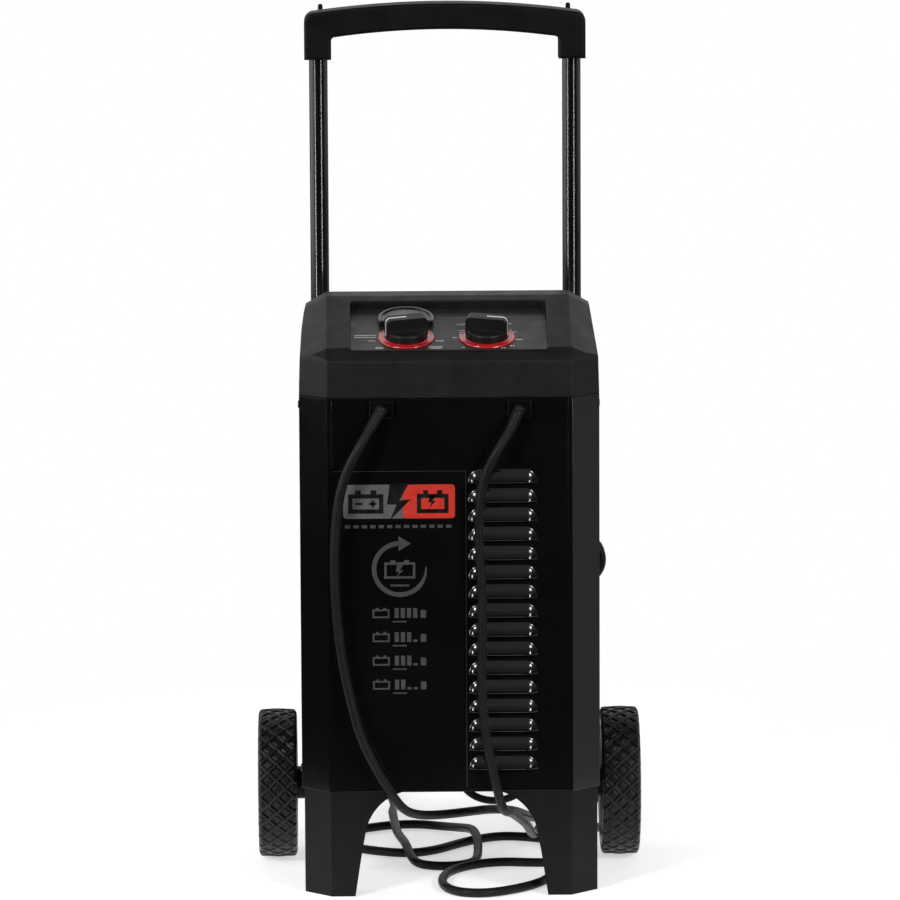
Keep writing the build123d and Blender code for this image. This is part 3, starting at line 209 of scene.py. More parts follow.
HEAD = plastic("head_plastic", grey(0.0070), grey(0.0100), rough=0.42, grain=1900, depth=0.00022,
               edge=0.003, specular=0.24)
PANEL = plastic("panel_plastic", grey(0.018), grey(0.023), rough=0.38, grain=3600, depth=0.00006,
                specular=0.4)
BASE = plastic("base_plastic", grey(0.0036), grey(0.0054), rough=0.48, grain=1900, depth=0.0002,
               edge=0.0012, specular=0.16)
GRIP = plastic("grip_plastic", grey(0.0022), grey(0.0033), rough=0.42, grain=2200, depth=0.00015,
               edge=0.0008, specular=0.15)
DARK = plastic("grommet_plastic", grey(0.0016), grey(0.0026), rough=0.34, grain=2600, depth=0.00008,
               specular=0.12)
KNOB = plastic("knob_plastic", grey(0.0075), grey(0.0100), rough=0.36, grain=3200, depth=0.00006,
               edge=0.0008, specular=0.25)
BEZEL = plastic("bezel_plastic", grey(0.005), grey(0.008), rough=0.12, grain=4000, depth=0.00002,
                edge=0.0005, coat=0.5)
HUB = plastic("hub_plastic", grey(0.006), grey(0.009), rough=0.42, grain=2400, depth=0.00012,
              edge=0.001, specular=0.25)
RING = plastic("ring_plastic", (0.40, 0.006, 0.010), (0.52, 0.010, 0.014), rough=0.20, grain=3000,
               depth=0.00002, edge=0.0003, coat=1.0)
POINTER = plastic("pointer_plastic", grey(0.72), grey(0.80), rough=0.35, grain=3000, depth=0.00002,
                  edge=0.0002)

RUBBER = rubber("tread_rubber", grey(0.0034), grey(0.0066), rough=0.34, grain=1500, depth=0.00008,
                sheen=0.05)
CABLE = rubber("cable_rubber", grey(0.0095), grey(0.0145), rough=0.34, grain=2600, depth=0.00005,
               sheen=0.0, specular=0.11)
SLEEVE = rubber("sleeve_rubber", grey(0.0095), grey(0.0145), rough=0.34, grain=2600, depth=0.00005,
                sheen=0.0, specular=0.11)
RED_GRIP = rubber("red_vinyl", (0.33, 0.012, 0.010), (0.42, 0.020, 0.016), rough=0.34, grain=2400,
                  depth=0.00008)
BLACK_GRIP = rubber("black_vinyl", grey(0.014), grey(0.022), rough=0.34, grain=2400, depth=0.00008)

STEEL = metal("zinc_steel", grey(0.42), grey(0.56), rough=0.28)
DARK_STEEL = metal("dark_screw", grey(0.05), grey(0.10), rough=0.32)
COPPER = metal("copper", (0.60, 0.28, 0.16), (0.75, 0.38, 0.24), rough=0.3)
CORE = metal("core_iron", grey(0.10), grey(0.18), rough=0.5, stretch=(1, 30, 1))

INK_DARK = mark("ink_dark_grey", (0.052, 0.052, 0.058))
INK_LINE = mark("ink_line", (0.022, 0.021, 0.021))
INK_GREY = mark("ink_grey", (0.105, 0.105, 0.115))
INK_RED = mark("ink_red", (0.62, 0.026, 0.012))
INK_BLACK = mark("ink_black", (0.0035, 0.0032, 0.003), rough=0.35)
INK_WHITE = mark("ink_white", (0.80, 0.80, 0.79))
INK_PALE = mark("ink_pale", (0.13, 0.13, 0.13))
INK_BROWN = mark("ink_brown", (0.075, 0.022, 0.022))
DIAL = mark("dial_plate", (0.020, 0.020, 0.022), rough=0.4)
NEEDLE = mark("needle_paint", (0.60, 0.03, 0.02), rough=0.35)
LENS = clear_lens("meter_glass")

NODE_LOOKS = {
    CABINET: ["cabinet_shell"],
    HEAD: ["head_housing"],
    PANEL: ["control_panel"],
    BASE: ["base_tray", "cord_hooks"],
    GRIP: ["grip_front", "grip_rear", "cable_hook_left", "cable_hook_right", "mains_gland"],
    DARK: ["cable_grommets"],
    KNOB: ["knob_left", "knob_right", "rate_switch", "timer_switch", "meter_case"],
    BEZEL: ["meter_bezel"],
    HUB: ["wheel_hub_left", "wheel_hub_right", "axle_spacers", "axle_caps"],
    RING: ["knob_ring_left", "knob_ring_right"],
    POINTER: ["knob_pointer_left", "knob_pointer_right"],
    TUBE: ["handle_tube_left", "handle_tube_right", "handle_brackets"],
    STEEL: ["axle", "rate_shaft", "timer_shaft", "clamp_left_pin", "clamp_right_pin",
            "clamp_left_spring", "clamp_right_spring", "rectifier"],
    DARK_STEEL: ["casing_screws", "handle_screws", "grip_screws"],
    LENS: ["meter_lens"],
    DIAL: ["meter_dial"],
    NEEDLE: ["meter_needle"],
    CORE: ["transformer_core"],
    COPPER: ["transformer_windings"],
    RED_GRIP: ["clamp_left_fixed", "clamp_left_moving"],
    BLACK_GRIP: ["clamp_right_fixed", "clamp_right_moving", "mains_plug"],
}
for look, names in NODE_LOOKS.items():
    for name in names:
        slots = nodes[name].data.materials
        slots.clear()
        slots.append(look)


# ------------------------------------------------------------------ mesh helpers
def piece(name, bm, look, body, smooth=True, solid=None):
    """A mesh piece that rides on a body, with a sheet's thickness where it is given."""
    mesh = bpy.data.meshes.new(name)
    bmesh.ops.recalc_face_normals(bm, faces=bm.faces)
    bm.to_mesh(mesh)
    bm.free()
    made = bpy.data.objects.new(name, mesh)
    bpy.context.scene.collection.objects.link(made)
    mesh.materials.append(look)
    for face in mesh.polygons:
        face.use_smooth = smooth
    if solid:
        thick = made.modifiers.new("thickness", "SOLIDIFY")
        thick.thickness = solid
        thick.offset = -1
    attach(made, body)
    return made


def grid(bm, rows, close_rows=False, close_columns=False):
    """Faces between rows of points, optionally closed round in either direction."""
    made = [[bm.verts.new(spot) for spot in row] for row in rows]
    count = len(made)
    for i in range(count if close_rows else count - 1):
        one, two = made[i], made[(i + 1) % count]
        width = len(one)
        for j in range(width if close_columns else width - 1):
            after = (j + 1) % width
            bm.faces.new((one[j], one[after], two[after], two[j]))
    return made


def face(bm, spots):
    bm.faces.new([bm.verts.new(spot) for spot in spots])


def smooth_step(value, low, high):
    share = min(1.0, max(0.0, (value - low) / (high - low)))
    return share * share * (3 - 2 * share)


# ------------------------------------------------------------------ tyres
TYRE_LOW, TYRE_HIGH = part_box("tyre_right")
TYRE_RADIUS = (TYRE_HIGH.z - TYRE_LOW.z) / 2
TYRE_HALF = (TYRE_HIGH.x - TYRE_LOW.x) / 2
TYRE_WALL = 3.0 * MM
HUB_RADIUS = 52.0 * MM
TYRE_STEPS = 840
# the sidewall as shares of the half width, millimetres outside the hub, and shares of the tread's depth
BEAD = [(0.80, 0.2, 0), (0.84, 1.6, 0), (0.86, 3.0, 0), (0.90, 3.6, 0), (0.93, 6.0, 0), (0.975, 10.0, 0),
        (0.99, 12.5, 0), (0.985, 13.7, 0.1)]
# the shoulder in the same way, but in millimetres inside the tyre's radius
SHOULDER = [(0.998, 9.5, 0.35), (1.0, 7.8, 0.7), (0.995, 6.2, 0.9), (0.975, 4.2, 1), (0.945, 2.8, 1),
            (0.90, 1.6, 1), (0.85, 0.9, 1)]
CROWN_EDGE, CROWN_DROP = 0.85, 0.9 * MM
CROWN_STEPS = 54
TREAD_ROUND = 28  # diamonds round the wheel
TREAD_ACROSS = 17.8 * MM
TREAD_DEPTH = 2.2 * MM
RIB_FLANK = (0.075, 0.135)  # in diamonds from a rib's middle
INNER_FLANK = (0.20, 0.27)
INNER_RISE = 0.45  # the inner diamonds rise this share of the tread's depth


def tyre_profile():
    """The tyre's section from bead to bead over the tread: offset, radius and tread share."""
    side = [(share * TYRE_HALF, HUB_RADIUS + out * MM, tread) for share, out, tread in BEAD]
    side += [(share * TYRE_HALF, TYRE_RADIUS - drop * MM, tread) for share, drop, tread in SHOULDER]
    crown = []
    for step in range(1, CROWN_STEPS):
        across = 1 - 2 * step / CROWN_STEPS
        crown.append((across * CROWN_EDGE * TYRE_HALF, TYRE_RADIUS - CROWN_DROP * across ** 2, 1))
    return side + crown + [(-x, radius, tread) for x, radius, tread in reversed(side)]


def tread_cut(x, turn):
    """How deep the tread is cut: 0 on its crossing ribs, 1 in the grooves round the inner diamonds."""
    across = x / TREAD_ACROSS
    along = turn * TREAD_ROUND
    to_ribs = [0.5 - abs((across + way * along) % 1 - 0.5) for way in (1, -1)]
    return smooth_step(min(to_ribs), *RIB_FLANK) - INNER_RISE * smooth_step(min(to_ribs), *INNER_FLANK)


section = tyre_profile()
for side in ("left", "right"):
    low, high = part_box("tyre_" + side)
    centre = (low + high) / 2
    rows = []
    for step in range(TYRE_STEPS):
        turn = step / TYRE_STEPS
        row = []
        for x, radius, share in section:
            r = radius - share * TREAD_DEPTH * tread_cut(x, turn)
            row.append(centre + Vector((x, -r * sin(2 * pi * turn), r * cos(2 * pi * turn))))
        rows.append(row)
    bm = bmesh.new()
    grid(bm, rows, close_rows=True)
    tread = piece("tyre_tread_" + side, bm, RUBBER, "wheel_" + side, solid=TYRE_WALL)
    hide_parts("tyre_" + side)

# ------------------------------------------------------------------ front panel and louvres, in millimetres
PANEL_HALF = 117.7
PANEL_GAP = 0.4
PANEL_SHEET = 1.5 * MM
LOUVRE_TOP = 427.5
LOUVRE_PITCH = 19.4
LOUVRE_COUNT = 16
LOUVRE_X = 52.4
LOUVRE_HALF = 34.0
LOUVRE_RISE = 13.0
LOUVRE_PROUD = 4.4
LOUVRE_SHEET = 0.9 * MM
LOUVRE_RINGS = 14
LOUVRE_STEPS = 60
LOUVRE_FOOT = [(0.99, 0.30), (1.02, 0.14), (1.06, 0.02)]  # its flared rim: share out, and proud
END_WIDTH = 11.0  # how much of each end is rounded
END_SHARE, TOP_SHARE = 1.6, 2.0  # how the outline's points are shared between each end and the top
OPENING_INSET = 5.0  # the opening behind a louvre is this much shorter at each end
OPENING_HEIGHTS = (0.8, 8.0)  # and lies between these heights above its foot
louvre_feet = [LOUVRE_TOP - index * LOUVRE_PITCH - LOUVRE_RISE / 2 for index in range(LOUVRE_COUNT)]


def louvre_outline(share):
    """A point on a louvre's edge, from its lower right corner over the top: x, height, and x on its spine."""
    straight = LOUVRE_HALF - END_WIDTH
    along = share * (2 * END_SHARE + TOP_SHARE)
    if along < END_SHARE:
        angle = along / END_SHARE * pi / 2
        return straight + END_WIDTH * cos(angle), LOUVRE_RISE * sin(angle), straight
    if along > END_SHARE + TOP_SHARE:
        angle = (along - END_SHARE - TOP_SHARE) / END_SHARE * pi / 2
        return -straight - END_WIDTH * sin(angle), LOUVRE_RISE * cos(angle), -straight
    across = straight * (1 - 2 * (along - END_SHARE) / TOP_SHARE)
    return across, LOUVRE_RISE, across


def louvre_rings():
    """The hood's rings from its spine outwards, then those of its foot: share out, and proud of the panel."""
    for ring in range(LOUVRE_RINGS + 1):
        out = 0.97 * ring / LOUVRE_RINGS
        yield out, LOUVRE_PROUD * (1 - out ** 1.6) ** 0.78
    yield from LOUVRE_FOOT


bm = bmesh.new()
for foot in louvre_feet:
    rows = []
    for out, proud in louvre_rings():
        row = []
        for step in range(LOUVRE_STEPS + 1):
            x, z, spine = louvre_outline(step / LOUVRE_STEPS)
            row.append(at(LOUVRE_X + spine + (x - spine) * out, -proud, foot + z * out))
        rows.append(row)
    grid(bm, rows)
piece("front_louvres", bm, CABINET, "body", solid=LOUVRE_SHEET)

panel_low, panel_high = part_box("front_panel")
opening_half = LOUVRE_HALF - OPENING_INSET
columns = [-PANEL_HALF, LOUVRE_X - opening_half, LOUVRE_X + opening_half, PANEL_HALF]
levels = [panel_low.z / MM + PANEL_GAP]
for foot in reversed(louvre_feet):
    levels += [foot + height for height in OPENING_HEIGHTS]
levels.append(panel_high.z / MM - PANEL_GAP)
bm = bmesh.new()
spots = [[bm.verts.new(at(x, 0, z)) for x in columns] for z in levels]
for row in range(len(levels) - 1):
    lower, upper = spots[row], spots[row + 1]
    for column in range(3):
        is_opening = column == 1 and row % 2 == 1
        if not is_opening:
            bm.faces.new((lower[column], lower[column + 1], upper[column + 1], upper[column]))
plate = piece("front_plate", bm, CABINET, "body", smooth=False, solid=PANEL_SHEET)
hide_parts("front_panel")

# ------------------------------------------------------------------ printed marks on the front panel
FILM = 0.08 * MM  # how thick the ink stands


class Print:
    """Flat printed shapes on the front panel, drawn in millimetres across and up."""

    def __init__(self, name, look, layer):
        self.name, self.look, self.bm = name, look, bmesh.new()
        self.depth = -0.10 - 0.12 * layer

    def shape(self, outline):
        face(self.bm, [at(x, self.depth, z) for x, z in outline])

    def bar(self, x0, z0, x1, z1, radius=0.0):
        if radius <= 0:
            self.shape([(x0, z0), (x1, z0), (x1, z1), (x0, z1)])
            return
        corners = [(x1 - radius, z1 - radius, 0), (x0 + radius, z1 - radius, 90),
                   (x0 + radius, z0 + radius, 180), (x1 - radius, z0 + radius, 270)]
        outline = []
        for cx, cz, start in corners:
            for step in range(7):
                angle = radians(start + 15 * step)
                outline.append((cx + radius * cos(angle), cz + radius * sin(angle)))
        self.shape(outline)

    def arc(self, cx, cz, inner, outer, start, end, steps, taper):
        """Part of a ring that widens from a quarter of its width at its start."""
        middle = (inner + outer) / 2
        for step in range(steps):
            one, two = step / steps, (step + 1) / steps
            quad = []
            for share, way in ((one, -1), (two, -1), (two, 1), (one, 1)):
                angle = radians(start + (end - start) * share)
                half = (outer - inner) / 2 * min(1.0, 0.25 + share * taper)
                radius = middle + way * half
                quad.append((cx + radius * cos(angle), cz + radius * sin(angle)))
            self.shape(quad)

    def done(self):
        bmesh.ops.remove_doubles(self.bm, verts=self.bm.verts, dist=1e-6)
        return piece(self.name, self.bm, self.look, "body", smooth=False, solid=FILM)


def battery(ink, x0, z0, x1, z1, line):
    """A battery sign: an open frame with two posts."""
    ink.bar(x0, z0, x1, z0 + line)
    ink.bar(x0, z1 - line, x1, z1)
    ink.bar(x0, z0 + line, x0 + line, z1 - line)
    ink.bar(x1 - line, z0 + line, x1, z1 - line)
    width = x1 - x0
    for share in (0.2, 0.64):
        ink.bar(x0 + width * share, z1, x0 + width * (share + 0.16), z1 + line * 0.9)


def bolt(ink, x, z, size):
    """A lightning sign in two halves, upper and lower."""
    upper = [(0.10, 1.0), (0.62, 1.0), (0.34, 0.52), (0.02, 0.42)]
    lower = [(0.34, 0.52), (0.66, 0.56), (0.10, 0.0), (0.28, 0.42), (0.02, 0.42)]
    for outline in (upper, lower):
        ink.shape([(x + a * size, z + b * size) for a, b in outline])


def polarity(ink, x, z):
    """Minus and plus signs, the minus starting at this point."""
    reach, line, apart = 7.0, 2.2, 13.9
    ink.bar(x, z, x + reach, z + line)
    ink.bar(x + apart, z, x + apart + reach, z + line)
    upright = x + apart + (reach - line) / 2
    ink.bar(upright, z - 2.4, upright + line, z + line + 2.4)


# a thin frame along the top and the right of the printed area
FRAME_LEFT, FRAME_RIGHT, FRAME_BOTTOM, FRAME_TOP, FRAME_LINE = -116.0, 16.0, 112.0, 433.2, 0.6
frame_lines = Print("print_label_frame", INK_LINE, 0)
frame_lines.bar(FRAME_LEFT, FRAME_TOP - FRAME_LINE, FRAME_RIGHT, FRAME_TOP)
frame_lines.bar(FRAME_RIGHT - FRAME_LINE, FRAME_BOTTOM, FRAME_RIGHT, FRAME_TOP - FRAME_LINE)
frame_lines.done()

# the emblem: a grey block and a red one, each with a battery sign
EMBLEM_LEFT, EMBLEM_RIGHT, EMBLEM_BOTTOM, EMBLEM_TOP, EMBLEM_CORNER = -106.5, 4.9, 385.3, 419.5, 3.5
grey_ink = Print("print_emblem_grey", INK_GREY, 0)
grey_ink.bar(EMBLEM_LEFT, EMBLEM_BOTTOM, -44.0, EMBLEM_TOP, EMBLEM_CORNER)
grey_ink.done()
red_ink = Print("print_emblem_red", INK_RED, 1)
red_ink.bar(-47.0, EMBLEM_BOTTOM, EMBLEM_RIGHT, EMBLEM_TOP, EMBLEM_CORNER)
red_ink.done()

SIGN_BOTTOM, SIGN_TOP, SIGN_LINE = 390.5, 410.0, 4.2
black_ink = Print("print_emblem_signs", INK_BLACK, 2)
battery(black_ink, -101.5, SIGN_BOTTOM, -66.5, SIGN_TOP, SIGN_LINE)
polarity(black_ink, -94.5, 399.2)
bolt(black_ink, -63.5, 384.0, 37.0)
battery(black_ink, -33.0, SIGN_BOTTOM, -1.5, SIGN_TOP, SIGN_LINE)
bolt(black_ink, -21.8, 396.2, 12.5)
black_ink.done()

# the dark signs: a row of blocks, a turning arrow round a battery, and four rating rows
BLOCK_COUNT, BLOCK_PITCH, BLOCK_WIDTH = 13, 8.4, 5.4
BLOCK_LEFT, BLOCK_BOTTOM, BLOCK_TOP = -105.0, 375.6, 378.8
RATINGS = [(289.6, 4), (265.2, 3), (241.3, 3), (216.9, 2)]  # each row's height, and its full bars
BAR_PITCH, BAR_WIDTH, BAR_FULL, BAR_EMPTY = 6.2, 4.2, 10.0, 2.4
dark_ink = Print("print_dark_signs", INK_DARK, 0)
for step in range(BLOCK_COUNT):
    left = BLOCK_LEFT + step * BLOCK_PITCH
    dark_ink.bar(left, BLOCK_BOTTOM, left + BLOCK_WIDTH, BLOCK_TOP)
dark_ink.arc(-50.3, 334.2, inner=23.6, outer=28.2, start=5, end=-268, steps=64, taper=4.0)
dark_ink.shape([(-51.6, 352.4), (-39.4, 359.8), (-51.6, 367.4)])
battery(dark_ink, -66.0, 324.5, -35.0, 341.0, 2.4)
bolt(dark_ink, -54.6, 326.4, 12.0)
dark_ink.bar(-60.0, 316.6, -41.0, 318.6)
for z, full_bars in RATINGS:
    foot = z - 5.0
    battery(dark_ink, -78.0, foot, -61.0, z + 3.8, 1.7)
    for step in range(4):
        left = -56.0 + step * BAR_PITCH
        dark_ink.bar(left, foot, left + BAR_WIDTH, foot + (BAR_FULL if step < full_bars else BAR_EMPTY))
    dark_ink.bar(-30.0, foot, -24.5, z + 3.0, 1.2)
    dark_ink.bar(-58.0, z - 9.4, -44.0, z - 8.0)
dark_ink.done()

# ------------------------------------------------------------------ control panel marks, in millimetres
SLOPE = radians(15.5)
PANEL_DEPTH, PANEL_BOTTOM = 8.5, 553.6  # the panel's lower edge
KNOB_UP = 30.0
METER_UP = 70.0
KNOB_X = {"left": -42.4, "right": 38.2}
INK_HEIGHT = 0.12


def on_panel(x, up, above=0.0):
    """A point from millimetres across, up the panel's slope and above its face."""
    depth = PANEL_DEPTH + up * cos(SLOPE) - above * sin(SLOPE)
    return at(x, depth, PANEL_BOTTOM + up * sin(SLOPE) + above * cos(SLOPE))


def panel_bars(name, look, bars):
    bm = bmesh.new()
    for x0, up0, x1, up1 in bars:
        corners = ((x0, up0), (x1, up0), (x1, up1), (x0, up1))
        face(bm, [on_panel(x, up, INK_HEIGHT) for x, up in corners])
    return piece(name, bm, look, "body", smooth=False, solid=FILM)


def panel_ring(name, look, x, up, profile, steps=96):
    """A ring turned about the panel's normal: profile is height above the panel and radius, closed round."""
    rows = []
    for step in range(steps):
        angle = 2 * pi * step / steps
        rows.append([on_panel(x + r * cos(angle), up + r * sin(angle), above) for above, r in profile])
    bm = bmesh.new()
    grid(bm, rows, close_rows=True, close_columns=True)
    return piece(name, bm, look, "body")


RING_PROFILE = [  # an inner ridge, a dished band and an outer ridge
    (0.05, 21.0), (1.5, 21.0), (1.95, 21.2), (2.1, 21.7), (1.95, 22.2), (1.5, 22.7), (1.35, 23.4),
    (1.35, 24.6), (1.55, 25.3), (1.95, 25.8), (2.1, 26.5), (1.95, 27.3), (1.5, 27.9), (0.8, 28.15),
    (0.05, 28.2),
]
for side, x in KNOB_X.items():
    ring = panel_ring("scale_ring_" + side, RING, x, KNOB_UP, RING_PROFILE)
    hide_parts("knob_ring_" + side)


def dashes(x0, x1, up, height, pitch, fill=0.62):
    """A row of small equal blocks, where a legend would stand."""
    count = max(1, round((x1 - x0) / pitch))
    width = (x1 - x0) / count
    low, high = up - height / 2, up + height / 2
    return [(x0 + i * width, low, x0 + (i + fill) * width, high) for i in range(count)]


LEGENDS = [  # left, right, middle height and letter height
    (-94, -72, 37.0, 1.7), (-94, -72, 32.0, 1.7), (-73, -65, 5.2, 2.8), (-69.5, -65, 42.5, 3.0),
    (-20.5, -15.5, 42.5, 3.2), (-13, -4.5, 22.0, 2.0), (-20, -6, 7.2, 2.2), (-18, -7, 3.8, 1.8),
    (60.5, 63.5, 49.0, 1.6), (62.5, 68.5, 43.5, 2.2), (67, 74, 24.5, 2.2), (61, 66, 8.5, 2.2),
    (13, 16, 5.6, 1.8), (52, 57, 3.8, 1.8),
]
TICKS = [  # left, lower, right, upper
    (-80.5, 22.4, -73.5, 23.4), (8.5, 63.3, 17, 64.1), (10, 47.5, 17, 48.5), (10, 42.5, 17, 43.5),
    (4, 29.5, 8.5, 30.5), (60, 64.1, 64, 64.9), (23, 60.8, 25.5, 61.6), (52, 60.8, 54.5, 61.6),
    (-62.5, 56.8, -60, 57.6),
]
legend_bars = [bar for x0, x1, up, height in LEGENDS for bar in dashes(x0, x1, up, height, 2.0)]
panel_bars("panel_legend", INK_WHITE, legend_bars)
panel_bars("panel_line", INK_PALE, [(-17, 81.0, 94, 82.0)])
panel_bars("panel_ticks", INK_WHITE, TICKS)
panel_bars("panel_caption", INK_BROWN, dashes(-96, -74, 85.0, 3.0, 2.4))

# ------------------------------------------------------------------ meter scale, in millimetres and degrees
METER_X = KNOB_X["left"]
PIVOT_UP = METER_UP - 1.0
SCALE_FILM = 0.06 * MM
SCALE_START, SCALE_SWEEP, SCALE_TICKS = 136, 92, 20
LONG_TICK = (17.0, 20.6, 0.45)  # inner and outer radius, and half its width
SHORT_TICK = (18.2, 20.2, 0.25)
RED_ZONE_START, RED_ZONE_END, RED_ZONE_STEPS = 62, 44, 12
RED_ZONE_RADII = (14.6, 16.2)


def on_dial(radius, angle, aside, above):
    """A point on the meter's dial, at a radius and an angle from its pivot."""
    x = METER_X + radius * cos(angle) - aside * sin(angle)
    return on_panel(x, PIVOT_UP + radius * sin(angle) + aside * cos(angle), above)


bm = bmesh.new()
for step in range(SCALE_TICKS + 1):
    angle = radians(SCALE_START - SCALE_SWEEP * step / SCALE_TICKS)
    inner, outer, half = SHORT_TICK if step % 5 else LONG_TICK
    corners = ((inner, -half), (outer, -half), (outer, half), (inner, half))
    face(bm, [on_dial(radius, angle, aside, 0.72) for radius, aside in corners])
piece("meter_scale", bm, INK_WHITE, "body", smooth=False, solid=SCALE_FILM)

rows = []
for step in range(RED_ZONE_STEPS + 1):
    angle = radians(RED_ZONE_START + (RED_ZONE_END - RED_ZONE_START) * step / RED_ZONE_STEPS)
    rows.append([on_dial(radius, angle, 0, 0.70) for radius in RED_ZONE_RADII])
bm = bmesh.new()
grid(bm, rows)
piece("meter_red_zone", bm, INK_RED, "body", smooth=False, solid=SCALE_FILM)


# ------------------------------------------------------------------ leads
def spline(name, points, radius, look):
    """A cord as one NURBS curve through its route's control points."""
    curve = bpy.data.curves.new(name, "CURVE")
    curve.dimensions = "3D"
    curve.bevel_depth = radius
    curve.bevel_resolution = 7
    curve.resolution_u = 8
    curve.use_fill_caps = True
    line = curve.splines.new("NURBS")
    line.points.add(len(points) - 1)
    for spot, point in zip(points, line.points):
        point.co = (*spot, 1)
    line.order_u = 3
    line.use_endpoint_u = True
    made = bpy.data.objects.new(name, curve)
    bpy.context.scene.collection.objects.link(made)
    curve.materials.append(look)
    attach(made, "body")
    return made


# routes in millimetres: across, behind the cabinet's front face, and up
CABLE_RADIUS = 4.65
MAINS_RADIUS = 4.0
FLOOR = CABLE_RADIUS
OVER = 3 * CABLE_RADIUS + 0.75
CLAMP_MIDDLE = 15.6
RELIEF_LENGTH = 26.0
RELIEF_START = {"left": (-68.0, -7.0, 495.6), "right": (69.6, -7.0, 495.6)}
RELIEF_WAY = {"left": Vector((-0.50, -0.30, -0.812)), "right": Vector((-0.42, -0.30, -0.857))}

LEFT_ROUTE = [
    # down the front panel
    (-91.2, -20.9, 458.4), (-104.5, -19.0, 432.0), (-112.5, -16.0, 398.0), (-116.0, -15.0, 350.0),
    (-114.5, -15.0, 300.0), (-110.0, -15.0, 252.0), (-101.0, -15.5, 206.0), (-91.5, -16.5, 168.0),
    (-76.5, -17.0, 136.0),
    # back under the base, across to the right leg
    (-60.0, -13.5, 107.0), (-47.0, 7.0, 86.0), (-31.0, 38.0, 75.0), (-9.0, 78.0, 67.0),
    (20.0, 124.0, 60.5), (44.0, 172.0, 53.0), (67.0, 222.0, 41.0), (82.0, 278.0, 24.0),
    (91.0, 330.0, 9.0),
    # a turn on the floor behind the right wheel, then forward behind the leg
    (93.5, 366.0, FLOOR), (96.7, 401.5, FLOOR), (101.0, 431.5, FLOOR),
    (122.0, 453.3, FLOOR), (151.8, 458.5, FLOOR), (179.0, 445.2, FLOOR),
    (193.3, 418.5, FLOOR), (189.0, 388.5, FLOOR), (186.0, 358.0, FLOOR),
    (174.0, 325.0, FLOOR), (158.0, 290.0, 7.0), (145.0, 249.0, OVER), (134.0, 206.0, OVER + 1),
    (125.0, 162.0, OVER + 1), (117.0, 120.0, OVER), (108.0, 84.0, 7.0), (97.0, 52.0, FLOOR),
    # the front loop
    (80.0, 25.0, FLOOR), (57.0, 4.0, FLOOR), (33.0, -9.0, FLOOR), (8.0, -4.0, FLOOR),
    (-6.0, 18.0, FLOOR), (-10.0, 50.0, FLOOR), (-5.0, 85.0, FLOOR), (12.0, 117.0, FLOOR),
    (48.0, 140.0, FLOOR), (92.0, 131.0, FLOOR), (124.0, 136.0, FLOOR),
    (144.0, 160.0, FLOOR), (148.0, 191.0, FLOOR), (135.0, 220.0, FLOOR),
    (111.0, 240.0, FLOOR),
    # across to the left leg and round behind it
    (83.0, 258.0, FLOOR), (56.0, 264.0, FLOOR), (31.0, 250.0, FLOOR),
    (8.0, 225.0, FLOOR), (-13.0, 197.0, FLOOR), (-40.0, 181.0, FLOOR),
    (-68.0, 190.0, FLOOR), (-94.0, 207.0, FLOOR), (-117.0, 232.0, FLOOR),
    (-125.0, 262.0, FLOOR), (-111.0, 290.0, FLOOR), (-86.0, 307.0, FLOOR),
    (-61.0, 322.0, FLOOR),
    # the middle loop, which crosses over the last stretch twice and over itself
    (-32.0, 327.0, FLOOR), (-5.0, 314.0, FLOOR), (14.0, 288.0, 8.5), (25.0, 254.0, OVER),
    (29.5, 217.0, OVER), (30.0, 182.0, 8.0), (28.0, 152.0, FLOOR), (21.5, 132.0, FLOOR),
    (4.5, 119.7, FLOOR), (-16.5, 119.7, FLOOR), (-33.5, 132.0, FLOOR), (-40.0, 152.0, 7.5),
    (-45.0, 184.0, OVER), (-50.5, 222.0, OVER - 1), (-54.0, 262.0, 11.0), (-56.5, 302.0, OVER),
    (-58.0, 342.0, OVER), (-57.0, 382.0, 8.0), (-55.0, 422.0, FLOOR + 0.5), (-60.0, 460.0, 10.0),
    (-70.0, 492.0, CLAMP_MIDDLE),
]
RIGHT_ROUTE = [
    # down the front panel, over the louvres
    (46.0, -20.6, 455.0), (34.0, -19.5, 431.0), (28.6, -17.0, 398.0), (28.7, -16.5, 354.0),
    (32.0, -16.5, 308.0), (31.5, -16.5, 258.0), (30.5, -16.5, 212.0), (34.0, -17.0, 168.0),
    (41.5, -17.5, 132.0),
    # back under the base
    (47.5, -11.0, 103.0), (53.0, 11.0, 84.0), (60.5, 46.0, 76.0), (69.0, 92.0, 61.0),
    (79.5, 142.0, 43.0), (85.0, 186.0, 24.0), (90.5, 224.0, OVER), (96.0, 264.0, OVER),
    (103.0, 306.0, 6.5), (109.0, 348.0, FLOOR), (113.0, 390.0, 7.5), (119.5, 430.0, OVER),
    (127.0, 470.0, OVER), (134.0, 508.0, 7.0), (137.0, 538.0, FLOOR),
]
MAINS_ROUTE = [
    # out of the gland and down, then up behind the cabinet to the right hook
    (0.0, 271.0, 135.0), (0.0, 287.0, 134.0), (0.5, 304.0, 128.0), (1.5, 317.0, 115.0),
    (3.0, 324.0, 97.0), (5.0, 324.5, 77.0), (10.5, 322.0, 56.0), (23.0, 318.0, 38.0),
    (44.0, 313.0, 31.0), (67.0, 308.0, 35.0), (86.0, 303.0, 50.5), (95.5, 298.0, 76.0),
    (95.0, 293.0, 108.0), (86.0, 288.0, 142.0), (74.0, 282.0, 176.0), (63.0, 276.5, 208.0),
    (57.5, 273.0, 236.0), (62.5, 271.0, 258.5), (78.5, 270.3, 272.0), (105.0, 270.125, 275.0),
]


def placed(route):
    return [at(*spot) for spot in route]


relief_tip = {}
for side, start in RELIEF_START.items():
    relief_tip[side] = at(*start) + RELIEF_WAY[side] * RELIEF_LENGTH * MM

